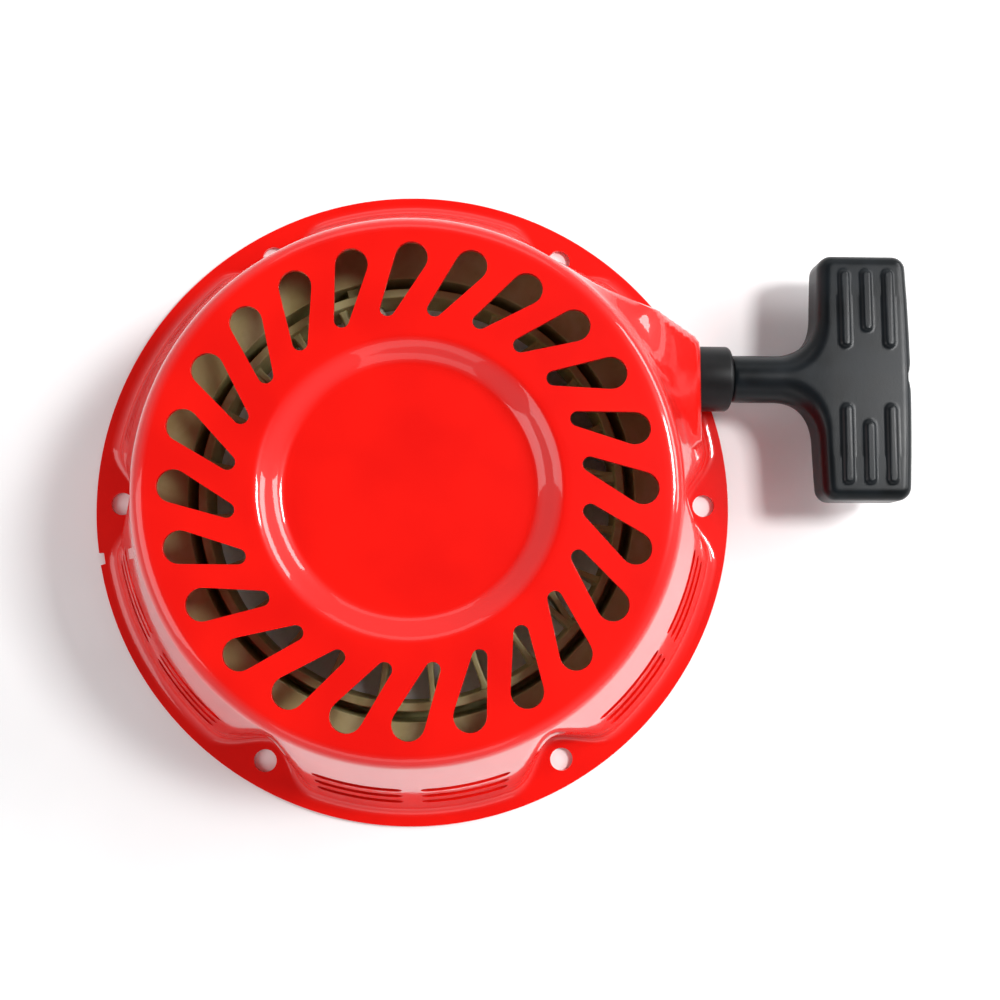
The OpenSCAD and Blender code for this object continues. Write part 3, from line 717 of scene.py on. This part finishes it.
# %% Slabs, sectors and Booleans
def slab(p, q, half, z0, z1, flare=1.1):
    """A thin upright wall from p to q. Its section is an oblong with rounded edges, carried along
    the line; half its width is `half`, plus a flare that dies away from each end."""
    sections, fillet = 9, 1.6
    p, q = np.asarray(p, float), np.asarray(q, float)
    length = np.linalg.norm(q - p)
    t = 0.5 - 0.5 * np.cos(np.linspace(0, math.pi, sections))
    swell = half + flare * (np.exp(-t * length / fillet) + np.exp(-(1 - t) * length / fillet))
    ring = rounded([(-1, z0, 0), (1, z0, 0), (1, z1, 0.45 / half), (-1, z1, 0.45 / half)], 3)
    along = (q - p) / length
    side = np.array([-along[1], along[0]])
    middle = p + (q - p) * t[:, None]
    flat = middle[:, None] + swell[:, None, None] * ring[None, :, :1] * side
    points = np.concatenate([flat, np.broadcast_to(ring[None, :, 1:], (*flat.shape[:2], 1))], -1)
    return closed_tube(points)


def closed_tube(points):
    """Points of stacked rings, with quads round them and a fan of triangles over each end."""
    rows, columns = points.shape[:2]
    ends = np.stack([points[0].mean(0), points[-1].mean(0)])
    ring, last = np.arange(columns), (rows - 1) * columns
    return (np.concatenate([points.reshape(-1, 3), ends]), grid_quads(rows, columns, False, True),
            np.concatenate([fan(ring, rows * columns, True), fan(last + ring, rows * columns + 1)]))


def sector(r0, r1, a0, a1, z0, z1, round_r, taper=0.0):
    """A block bent round the axis: a rectangle with rounded corners carried through an arc in
    degrees. Its outer side drops towards r0 over the first and last 3 degrees by `taper` mm."""
    ring = rounded([(r0, z0, round_r), (r1, z0, round_r), (r1, z1, round_r), (r0, z1, round_r)], 3)
    t = np.linspace(0, 1, 25)
    angle = np.radians(a0 + (a1 - a0) * t)
    drop = taper * (1 - step_up(np.minimum(t, 1 - t) * (a1 - a0), 0, 3.0))
    r = ring[None, :, 0] - drop[:, None] * (ring[None, :, 0] - r0) / (r1 - r0)
    return closed_tube(polar(r, angle[:, None], ring[None, :, 1]))


def joined(name, parts):
    """One object from several (points, quads, triangles)."""
    points, quads, triangles = zip(*parts)
    starts = np.cumsum([0] + [len(p) for p in points[:-1]])
    quads, triangles = [[q + s for q, s in zip(faces, starts)] for faces in (quads, triangles)]
    return sew(as_object(name, *map(np.concatenate, (points, quads, triangles))))


def round_bar(start, end, radius):
    """A plain round bar between two points, for bosses and for cutting holes."""
    sides = 32
    start, end = np.asarray(start, float), np.asarray(end, float)
    way = (end - start) / np.linalg.norm(end - start)
    side = np.cross(way, [0, 0, 1] if abs(way[2]) < 0.9 else [1, 0, 0])
    side /= np.linalg.norm(side)
    up, a = np.cross(side, way), np.arange(sides)[:, None] * TURN / sides
    ring = radius * (np.cos(a) * side + np.sin(a) * up)
    return closed_tube(np.stack([start + ring, end + ring]))


def combine(piece, tool, operation):
    """Adds one object to another, or cuts it away, and removes the second one."""
    made = piece.modifiers.new(operation.lower(), "BOOLEAN")
    made.operation, made.solver, made.object = operation, "EXACT", tool
    made.use_self = operation == "UNION"
    set_modifiers(piece)
    bpy.data.objects.remove(tool)


def turn_about_axis(part, degrees):
    """A part's points turned about the Z axis."""
    a = math.radians(degrees)
    c, s = math.cos(a), math.sin(a)
    x, y, z = part[0].T
    return (np.stack([c * x - s * y, s * x + c * y, z], -1), *part[1:])


# %% Drum and cup
reel = turned("reel", rounded([
    (60, 29.5, 0.5), (60, 10.5, 3.5), (77, 10.5, 1.3), (77, 13, 0.5), (68, 13, 0.8), (68, 27, 0.8),
    (77, 27, 0.5), (77, 29.5, 1.0), (65.5, 29.5, 0.4), (65.5, 14.5, 1.0), (62.5, 14.5, 1.0),
    (62.5, 29.5, 0.4)], 4), 240)
cup = turned("cup", rounded([
    (6.05, 20.6, 0.3), (11, 20.6, 0.5), (11, 24, 1.0), (44.5, 24, 1.6), (44.5, 4, 0.7), (47.5, 4, 0.7),
    (47.5, 27, 1.0), (40, 27, 1.0), (40, 48.6, 0.5), (37.5, 48.6, 0.5), (37.5, 27, 0.8), (11, 27, 0.8),
    (11, 30.4, 0.5), (6.05, 30.4, 0.3)], 4), 240)
combine(reel, cup, "UNION")

# %% Ribs and lugs
# Places round the reel are in degrees. Every third rib has a short leg that makes it a Y, and
# the ribs leave room for the rope's knot. The pawls pivot on two bosses opposite each other.
RIBS, FIRST_RIB, KNOT_ANGLE, KNOT_ROOM = 24, 6.0, 103.6, 14
ribs, legs = [], []
for i in range(RIBS):
    at = i * 360 / RIBS + FIRST_RIB
    if abs(at - KNOT_ANGLE + 9) > KNOT_ROOM:
        ribs.append(turn_about_axis(slab((46.6, 0), (61.2, 0), 0.8, 15, 26.4), at))
        if i % 3 == 0:
            legs.append(turn_about_axis(slab((60.8, 0.2), (48.0, 4.5), 0.75, 15.3, 26.1), at))
combine(reel, joined("ribs", ribs), "UNION")
combine(reel, joined("legs", legs), "UNION")
LUG_A, LUG_B, PAWL_AT, PAWL_PIVOT = (4.6, 34.6), (194.6, 219.6), 154.6, (10.1, 19)
lugs = [sector(46.4, 50.3, *angles, 4.3, 25.7, 0.7, 0.55) for angles in (LUG_A, LUG_B)]
lugs += [turn_about_axis(round_bar((*PAWL_PIVOT, 20.9), (*PAWL_PIVOT, 25), 7.5), PAWL_AT + half_turn)
         for half_turn in (0, 180)]
lugs.append(turn_about_axis(slab((61, 0), (66.6, 0), 5.0, 13.7, 26.3, flare=0), KNOT_ANGLE))
combine(reel, joined("lugs", lugs), "UNION")

# %% Notches and holes
# In order: two hollows in the cup's wall behind the lugs, two pivot holes, the rope's hole, the
# notch in the drum's rim and the slit that holds the spring's outer end.
RIM_NOTCH_AT, SPRING_SLIT_AT, ROPE_HOLE_Z = 297.6, 20, 17
cuts = [sector(43, 47.2, LUG_A[0] + 2.5, LUG_A[1] - 9, 2, 21.5, 0.3),
        sector(43, 47.2, LUG_B[0] + 2.5, LUG_B[1] - 7, 2, 21.5, 0.3)]
cuts += [turn_about_axis(round_bar((*PAWL_PIVOT, 19), (*PAWL_PIVOT, 23.8), 5.2), PAWL_AT + half_turn)
         for half_turn in (0, 180)]
cuts += [turn_about_axis(round_bar((54.5, 0, ROPE_HOLE_Z), (71, 0, ROPE_HOLE_Z), 2.5), KNOT_ANGLE),
         turn_about_axis(slab((74.2, 0), (80, 0), 2.2, 8, 13.6, flare=0), RIM_NOTCH_AT),
         turn_about_axis(slab((36.8, 0), (42, 0), 0.7, 30, 50, flare=0), SPRING_SLIT_AT)]
combine(reel, joined("cuts", cuts), "DIFFERENCE")
smooth(reel, 32)
even = reel.modifiers.new("even shading", "WEIGHTED_NORMAL")
even.keep_sharp, even.weight = True, 60
set_modifiers(reel)
dress(reel, khaki_nylon, "khaki_nylon", "reel", "rope_reel")
print("reel:", len(reel.data.polygons), "faces")

# %% [markdown]
# ## Ratchet guide, collar and bolt
# The guide is a disc of sheet pressed up round its hub and round two windows, so it is given as a
# distance: how far a point is above or below the middle of the sheet, where the middle follows
# the pressed relief. The collar and the bolt are turned.

# %% Ratchet guide
GUIDE_R, GUIDE_HOLE_R, SHEET_MIDDLE, RELIEF = 32.0, 6.06, 15.25, 1.7
# the relief's slope stretches distances across the sheet, and this makes up for it
SLOPED = 0.85


def oblong(x, y, x0, x1, half, corner):
    """Distance in the plane to a rectangle with rounded corners."""
    dx = np.abs(x - (x0 + x1) / 2) - (x1 - x0) / 2 + corner
    dy = np.abs(y) - half + corner
    return np.minimum(np.maximum(dx, dy), 0) + np.hypot(np.maximum(dx, 0), np.maximum(dy, 0)) - corner


def guide_distance(x, y, z):
    """Distance to the pressed disc: half a sheet's thickness either side of its middle surface,
    less the windows and the hub's hole, with every cut edge a little rounded."""
    a = math.radians(PAWL_AT)
    u, v = x * math.cos(a) + y * math.sin(a), y * math.cos(a) - x * math.sin(a)
    r, u = np.hypot(x, y), np.abs(u)
    raised = soft_min(r - 12.4, oblong(u, v, 9.5, 28.9, 10.3, 1.5), 5.0)
    middle = SHEET_MIDDLE - RELIEF * (1 - step_up(raised, -0.3, 2.1))
    sheet = np.abs(z - middle) * SLOPED - SHEET / 2 * SLOPED
    sheet = soft_max(sheet, r - GUIDE_R, 0.7)
    sheet = soft_max(sheet, -oblong(u, v, 13.0, 26.6, 8.0, 0.8), 0.5)
    return soft_max(sheet, GUIDE_HOLE_R - r, 0.4)


guide = skin_of("guide_disc", guide_distance, (-33.1, -33.05, 11.8), (33, 33, 17), 0.4)
smooth(guide, 50)
dress(guide, yellow_zinc, "yellow_zinc_steel", "guide", "ratchet_guide")

# %% Collar and bolt
collar = turned("collar", rounded([
    (3.05, 9.4, 0.25), (8.7, 9.4, 1.2), (8.8, 10.7, 0.3), (10.2, 10.8, 0.9), (10.2, 12.5, 0.3),
    (3.05, 12.5, 0.2)], 5), 96)
smooth(collar, 40)
dress(collar, yellow_zinc, "yellow_zinc_steel", "housing", "shaft_collar")

# The bolt is rings from the middle of its head, over the chamfer and down to the shank's end.
HEAD_FLATS, HEAD_TOP, HEAD_FOOT, SHANK_R, SHANK_LENGTH = 5.0, 5.4, 9.4, 2.95, 17.6
DIMPLE, CHAMFER_R, CHAMFER_SLOPE = 0.35, 4.6, 0.577
around = np.arange(96) * TURN / 96
hexagon = HEAD_FLATS / np.cos((around + TURN / 12) % (TURN / 6) - TURN / 12)
chamfer_z = HEAD_TOP + CHAMFER_SLOPE * (hexagon - CHAMFER_R)
rows = [(0.9, HEAD_TOP + DIMPLE), (2.9, HEAD_TOP + DIMPLE), (3.3, HEAD_TOP), (4.4, HEAD_TOP),
        (CHAMFER_R, HEAD_TOP + 0.06), (hexagon - 0.12, chamfer_z - 0.05),
        (hexagon, chamfer_z + 0.12), (hexagon, HEAD_FOOT), (SHANK_R, HEAD_FOOT),
        (SHANK_R, HEAD_FOOT + SHANK_LENGTH)]
bolt = sew(as_object("bolt", *closed_tube(np.stack([polar(r, around, z) for r, z in rows]))))
smooth(bolt, 22)
dress(bolt, bright_zinc, "bright_zinc_steel", "housing", "center_bolt")
print("guide, collar and bolt made")

# %% [markdown]
# ## Parts that keep their frame shape
# Pawls, post and washer are right as they are, apart from their edges. A copy of each solid is
# sewn together and its edges are rounded, because a sharp edge never catches light. Springs, and
# what nobody sees, keep the solid itself and only take a finish.

# %% Edges and finishes of small parts
def softened(name, node_name, width, material, slot, body):
    """A sewn copy of a frame solid with rounded edges, standing for that solid."""
    piece = bpy.data.objects.new(name, nodes[node_name].data.copy())
    bpy.context.scene.collection.objects.link(piece)
    sew(piece)
    bpy.context.view_layer.update()
    flat = piece.modifiers.new("flat faces", "DECIMATE")
    flat.decimate_type, flat.angle_limit = "DISSOLVE", math.radians(1.0)
    bevel(piece, width, angle=32)
    set_modifiers(piece)
    smooth(piece, 40)
    dress(piece, material, slot, body, node_name)


softened("pawl_left", "pawl_a", 0.3, pawl_steel, "pawl_steel", "left_pawl")
softened("pawl_right", "pawl_b", 0.3, pawl_steel, "pawl_steel", "right_pawl")
softened("post", "center_post", 0.3, bright_zinc, "bright_zinc_steel", "housing")
softened("washer", "handle_washer", 0.15, bright_zinc, "bright_zinc_steel", "pull_rope")
for name in ("rewind_spring", "friction_spring", "pawl_spring_a", "pawl_spring_b"):
    nodes[name].material_slots[0].material = spring_steel
nodes["inspection_dot"].material_slots[0].material = stamp_ink
print("small parts made")

# %% Eyelet
# The rope's eyelet is a flanged bush pressed into the wall. It is turned about an axis along X.
eyelet = turned("eyelet", rounded([
    (4.3, 82.4, 0.4), (9, 82.4, 0.6), (9, 84.55, 0.4), (7, 84.55, 0.2), (7, 86.12, 0.1),
    (10, 86.12, 0.3), (10, 96.7, 1.3), (3.5, 96.7, 0.7), (2.7, 95.6, 0.3), (2.7, 85.2, 1.0)], 5),
    96, "x", (0, ROPE_Y, ROPE_Z))
smooth(eyelet, 40)
dress(eyelet, black_nylon, "black_nylon", "housing", "rope_guide")

# %% [markdown]
# ## The handle
# The tee is moulded in one piece: a round stem that swells into a flat bar with soft corners and
# long raised ribs on both faces. It is a distance again. In plan the bar and the stem are joined
# by a wide fillet. Across the thickness the edge radius shrinks from the stem's, which makes it
# round, to the bar's. The bore and the knot's pocket are cut last.

# %% Tee handle
BAR_X, BAR_HALF, BAR_T, STEM_R = (124.5, 152.4), 38.0, 15.6, 7.25
BAR_EDGE, BAR_CORNER, RIB_HEIGHT, CROWNING = 3.2, 4.0, 0.7, 0.35
STEM_END, BORE_R, POCKET_R, POCKET_FLOOR = 97.0, 2.7, 6.2, 138.0


def tee_plan(x, y):
    """Distance in plan to the bar joined to the stem. The bar's outer side bows by a millimetre
    and its inner side leans towards the ends."""
    lean = 1.2 * (1 - (np.abs(y) / BAR_HALF) ** 2)
    bow = 1.0 * (y / BAR_HALF) ** 2
    middle, half = (BAR_X[0] - lean + BAR_X[1] - bow) / 2, (BAR_X[1] - bow - BAR_X[0] + lean) / 2
    bar = oblong(x - middle, y, -half, half, BAR_HALF, BAR_CORNER)
    stem = np.maximum(np.abs(y) - STEM_R, x - 134)
    return np.where(x < 104, np.minimum(stem, bar), soft_min(stem, bar, 13.0))


def rib_relief(x, y):
    """Height of the raised ribs: three long ones on each half of the bar."""
    y, height = np.abs(y), 0.0
    for at, y0, y1 in ((131.6, 10.5, 31.5), (138.4, 15.5, 31.5), (145.2, 10.5, 31.5)):
        along = np.hypot(x - at, np.maximum(np.maximum(y0 - y, y - y1), 0))
        height = np.maximum(height, 1 - step_up(along, 1.0, 1.9))
    return height


def handle_distance(x, y, z):
    """Distance to the tee: plan and half thickness joined by an edge radius that follows x."""
    y, z = y - ROPE_Y, z - ROPE_Z
    blend = step_up(x, 112, 128)
    edge = STEM_R + (BAR_EDGE - STEM_R) * blend
    thick = STEM_R + (BAR_T / 2 - RIB_HEIGHT - STEM_R) * blend + RIB_HEIGHT * rib_relief(x, y)
    thick = thick + CROWNING * blend * (1 - (y / BAR_HALF) ** 2)
    flat, tall = tee_plan(x, y) + edge, np.abs(z) - thick + edge
    solid = np.minimum(np.maximum(flat, tall), 0) - edge
    solid = solid + np.hypot(np.maximum(flat, 0), np.maximum(tall, 0))
    solid = soft_max(solid, STEM_END - x, 1.4)
    around_rope = np.hypot(y, z)
    solid = soft_max(solid, BORE_R - around_rope, 0.8)
    return soft_max(solid, -np.maximum(around_rope - POCKET_R, POCKET_FLOOR - x), 1.0)


handle = skin_of("tee_handle", handle_distance, (95.5, -2, 8.5), (154, 78, 27.5), 0.6)
smooth(handle, 60)
dress(handle, grip_plastic, "black_grip_plastic", "handle", "handle_grip")

# %% [markdown]
# ## The rope
# The rope is braided from two sets of strands that wind opposite ways and take turns to be on
# top. Its section is a ring of points pushed in wherever there is a valley between strands, and
# the same number tells the finish where to paint shade into the valleys. One rope runs from its
# cut tail through the reel's knot and out through the drum, then clockwise round it: a first
# layer of two turns, a climb, and one more turn on top. A second piece leaves the coil, crosses
# to the eyelet and ends in the handle's knot.

# %% Paths and braid
# the braid repeats every LAY millimetres along the rope; a valley's depth is a share of its radius
ROPE_R, ROPE_SIDES, STRANDS, LAY, VALLEY_DEPTH = 2.2, 24, 6, 3.4, 0.09


def distance_along(path):
    """Distance from a path's first point to each of its points, measured along it."""
    return np.concatenate([[0], np.cumsum(np.linalg.norm(np.diff(path, axis=0), axis=1))])


def even_path(points, step):
    """A smooth chain of points: three times over, every corner is cut a quarter of the way along
    both its sides, and the result is divided evenly."""
    path = np.asarray(points, float)
    for _ in range(3):
        near, far = 0.75 * path[:-1] + 0.25 * path[1:], 0.25 * path[:-1] + 0.75 * path[1:]
        path = np.concatenate([path[:1], np.stack([near, far], 1).reshape(-1, 3), path[-1:]])
    along = distance_along(path)
    at = np.linspace(0, along[-1], int(round(along[-1] / step)) + 1)
    return np.stack([np.interp(at, along, path[:, i]) for i in range(3)], -1)


def frames_along(path):
    """Two unit normals at every point of a path, turned no more than the path itself turns."""
    tangent = np.gradient(path, axis=0)
    tangent /= np.linalg.norm(tangent, axis=1)[:, None]
    side = np.empty_like(path)
    last = np.array([0, 0, 1.0]) if abs(tangent[0, 2]) < 0.9 else np.array([1.0, 0, 0])
    for i, way in enumerate(tangent):
        last = last - way * (last @ way)
        last = side[i] = last / np.linalg.norm(last)
    return side, np.cross(tangent, side)


def braid(angle, along):
    """Height of the braid: 1 on a strand, 0 between strands. Each set of strands is a row of
    round ridges, and the one on top at a crossing is under at the next."""
    left, right = STRANDS * angle - TURN * along / LAY, STRANDS * angle + TURN * along / LAY
    turns = 0.3 * np.cos((left + right) / 2)
    height = np.maximum(0.35 + 0.35 * np.cos(left) + turns, 0.35 + 0.35 * np.cos(right) - turns)
    return np.clip((height - 0.3) / 0.7, 0, 1)


def rope(name, path, radius, plain=None):
    """Rope along a path, a ring of points round each of the path's own points. The radius is
    given at each of them, and `plain` (0 to 1 along the path) fades the strands out."""
    one, two = frames_along(path)
    angle = np.arange(ROPE_SIDES)[None, :] * TURN / ROPE_SIDES
    valley = 1 - braid(angle, distance_along(path)[:, None])
    if plain is not None:
        valley = valley * (1 - plain[:, None])
    r = radius[:, None] * (1 - VALLEY_DEPTH * valley)
    cos, sin = np.cos(angle)[..., None], np.sin(angle)[..., None]
    ring = path[:, None] + r[..., None] * (cos * one[:, None] + sin * two[:, None])
    piece = as_object(name, *closed_tube(ring))
    # the attribute "valley" carries painted shade: the finish darkens the rope in the valleys between
    # strands
    valley_shade_mask = piece.data.attributes.new("valley", "FLOAT", "POINT")
    valley_shade_mask.data.foreach_set("value", np.append(valley.ravel() ** 2, [0.0, 0.0]).astype(np.float32))
    sew(piece)
    piece.data.materials.append(braided_rope)
    return smooth(piece, 75)


def knot(inner, reach, height):
    """An overhand knot: the three-lobed curve (a sin t + b sin 2t, a cos t - b cos 2t, -c sin 3t)
    cut open at one lobe. It starts at its far side and ends at its near side, facing along z."""
    cut = 0.65
    t = np.linspace(math.pi + cut, 3 * math.pi - cut, 26)
    return np.stack([inner * np.sin(t) + reach * np.sin(2 * t),
                     inner * np.cos(t) - reach * np.cos(2 * t), -height * np.sin(3 * t)], -1)


# %% Rope wound on the reel
# The knot sits inside the drum, in front of the rope's hole, and is first laid out for a hole on
# the X axis. The winding is given in turns from the hole: its radius, and its height in the groove.
COIL_STEP = 0.85
body = knot(1.5, 3.2, 3.2)
inside = np.stack([53.9 - body[:, 2], body[:, 1], 16 - body[:, 0]], -1)
tail = [(50.2, -19, 12.2), (50.9, -16, 12.2), (52, -12.5, 12.4), (52.6, -9, 12.5),
        (51.8, -5.6, 12.3), (50.2, -3.4, 12.8)]
lead = [(58.2, -3.1, 17.6), (59.4, -1.9, 17.2), (60.6, -0.6, 17), (62, 0, 17), (64, 0, 17),
        (66, 0, 17), (68.6, 0, 17)]
turns = np.concatenate([[0.0045], np.arange(0.012, 3.1175, 1 / 120), [3.117]])
radius = np.interp(turns, [0, 1.84, 1.99, 3.0, 3.117], [70.35, 70.35, 74.5, 74.5, 74.1])
height = np.interp(turns, [0, 0.1, 0.55, 0.95, 1.45, 1.75, 1.95, 2.2, 2.9, 3.117],
                   [17, 15.5, 15.5, 21.4, 21.4, 24.5, 24.7, 24.6, 20, 20])
wound = polar(radius, -turns * TURN, height)
path = even_path(np.concatenate([tail, inside, lead, wound]), COIL_STEP)
path = turn_about_axis((path,), KNOT_ANGLE)[0]
# the knot is pulled tight, so the rope is thinner in it
grown = np.linspace(0, 1, len(path)) * len(path) * COIL_STEP
thick = np.interp(grown, [0, 14, 20, 58, 66], [2.1, 2.05, 1.85, 1.85, ROPE_R])
coil = rope("wound_rope", path, thick)
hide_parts("rope_coil", "reel_knot")
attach(coil, "reel")
print("rope on the reel, with its knot and tail:", round(len(path) * COIL_STEP), "mm")

# %% Rope from the reel to the handle's knot
# The stretch that grows when the handle is pulled lies inside the eyelet. Its rings are close
# together at rest, and its strands are faded out, because a pull draws them out more than a hundredfold.
STRETCH_FROM, STRETCH_TO, STRETCH_RINGS = 88.4, 96.6, 250
KNOT_X, END_STEP = 145.1, 0.5
run = even_path([(35.36, 65.12, 20), (42.5, 61.25, 19.85), (50, 57.2, 19.6), (57.5, 53.1, 19.35),
                 (65, 49.05, 19.1), (71, 45.8, 18.8), (76, 43.1, 18.6), (81.5, 40.2, 18.2),
                 (84.5, 38.9, 18.05), (87, 38.15, 18), (STRETCH_FROM, ROPE_Y, ROPE_Z)], 0.6)
stretch = np.linspace((STRETCH_FROM, ROPE_Y, ROPE_Z), (STRETCH_TO, ROPE_Y, ROPE_Z), STRETCH_RINGS)
lead = [(0, 0, -17), (0, 0, -9), (0, -0.2, -7.2), (-0.4, -1.3, -6.0), (-1.2, -2.5, -4.9),
        (-1.75, -2.6, -4.0)]
tail = [(1.7, -2.6, 4.0), (0.7, -3.2, 5.0), (-0.3, -2.9, 6.1)]
far = np.concatenate([lead, knot(1.3, 2.9, 3.2)[::-1], tail])
far = np.stack([KNOT_X + far[:, 2], ROPE_Y + far[:, 1], ROPE_Z + far[:, 0]], -1)
straight = [(STRETCH_TO, ROPE_Y, ROPE_Z), (110, ROPE_Y, ROPE_Z)]
end = even_path(np.concatenate([straight, far]), END_STEP)
path = np.concatenate([run[:-1], stretch, end[1:]])
first, last = len(run) - 1, len(run) + STRETCH_RINGS - 1
plain = np.zeros(len(path))
plain[first:last] = 1
plain = np.clip(np.convolve(np.pad(plain, 6, "edge"), np.ones(13) / 13, "valid"), 0, 1)
thick = np.full(len(path), ROPE_R)
thick[last:] = np.interp(np.arange(len(path) - last) * END_STEP, [0, 42, 46], [ROPE_R, ROPE_R, 1.65])
drawn = rope("drawn_rope", path, thick, plain)
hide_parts("rope_run", "rope_lead", "handle_knot")
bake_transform(drawn)
print("rope from the reel through the handle's knot, at rest:", round(distance_along(path)[-1]), "mm")

# %% [markdown]
# ## Floor, lights and camera
# A pale floor, a soft sky that is bright at the horizon and dim overhead, and five flat lamps.
# The crown mirrors the dim part of the sky and keeps its full red. The main lamps stand on the
# right, one low for the highlight in the dish and one high to light the reel through the vents.

# %% Floor and sky
FLOOR_R, FLOOR_Z, FLOOR_STEPS = 12000.0, -0.3, 128
around = np.arange(FLOOR_STEPS) * TURN / FLOOR_STEPS
rim = polar(FLOOR_R, around, FLOOR_Z)
floor = as_object("studio_floor", np.concatenate([rim, [[0, 0, FLOOR_Z]]]),
                  triangles=fan(np.arange(FLOOR_STEPS), FLOOR_STEPS))
floor_paint, tree, shader, mm = finish("white_paper_sweep", Roughness=0.9)
fibres = node(tree, "ShaderNodeTexNoise", {"Vector": mm, "Scale": lumps(40), "Detail": 2.0})
tone = node(tree, "ShaderNodeValToRGB", {"Fac": fibres}, [(0.3, "#F6F6F6"), (0.7, "#F9F9F9")])
wire(tree, shader, {"Base Color": tone})
floor.data.materials.append(floor_paint)

sky = bpy.data.worlds.new("studio sky")
sky.use_nodes = True
bpy.context.scene.world = sky
tree = sky.node_tree
up = node(tree, "ShaderNodeSeparateXYZ", {0: node(tree, "ShaderNodeTexCoord").outputs["Generated"]})
fade = node(tree, "ShaderNodeMapRange", {"Value": up.outputs["Z"], "From Min": 0.35,
                                         "From Max": 0.92, "To Min": 0.82, "To Max": 0.05})
wire(tree, tree.nodes["Background"], {"Strength": fade, "Color": paint("#F7F9FB")})
print("floor and sky made")

# %% Lamps
LAMP_AIM = Vector((0.02, 0.0, 0.03))


def lamp(name, place, size, power):
    """A white rectangle of light at a place in metres, facing the middle of the object. Its size
    is in metres and its power in watts."""
    light = bpy.data.lights.new(name, "AREA")
    light.shape, light.energy = "RECTANGLE", power
    light.size, light.size_y = size
    made = bpy.data.objects.new(name, light)
    bpy.context.scene.collection.objects.link(made)
    made.location = place
    made.rotation_euler = (LAMP_AIM - Vector(place)).to_track_quat("-Z", "Y").to_euler()


lamp("right panel", (0.95, 0.4, 0.6), (0.8, 0.26), 7.5)
lamp("high panel", (0.78, 0.22, 1.05), (0.26, 0.26), 11.0)
lamp("left panel", (-1.0, -0.2, 0.8), (0.7, 0.8), 4.5)
lamp("front panel", (-0.1, -1.1, 0.75), (1.2, 0.4), 1.6)
lamp("back panel", (0.0, 1.1, 0.8), (1.2, 0.4), 1.6)
bpy.context.scene.view_settings.view_transform = "Standard"
print("lamps:", len(bpy.data.lights))

# %% Camera
# The camera stands a little in front of the housing's middle and looks almost straight down.
CAMERA_PLACE, CAMERA_AIM, LENS = (0.011, -0.033, 0.38), (0.026, 0.0, 0.02), 43.0
camera_data = bpy.data.cameras.new("camera")
camera_data.lens, camera_data.sensor_width, camera_data.dof.use_dof = LENS, 36.0, False
camera_data.clip_start, camera_data.clip_end = 0.01, 50.0
camera = bpy.data.objects.new("camera", camera_data)
bpy.context.scene.collection.objects.link(camera)
bpy.context.scene.camera = camera
# its own axes: back from the aim, right, and up, which is close to the world's Y
back = (Vector(CAMERA_PLACE) - Vector(CAMERA_AIM)).normalized()
right = Vector((0, 1, 0)).cross(back).normalized()
axes = Matrix((right, back.cross(right), back)).transposed()
camera.matrix_world = Matrix.Translation(CAMERA_PLACE) @ axes.to_4x4()
print("camera", round((Vector(CAMERA_PLACE) - Vector(CAMERA_AIM)).length, 3), "m from its aim")
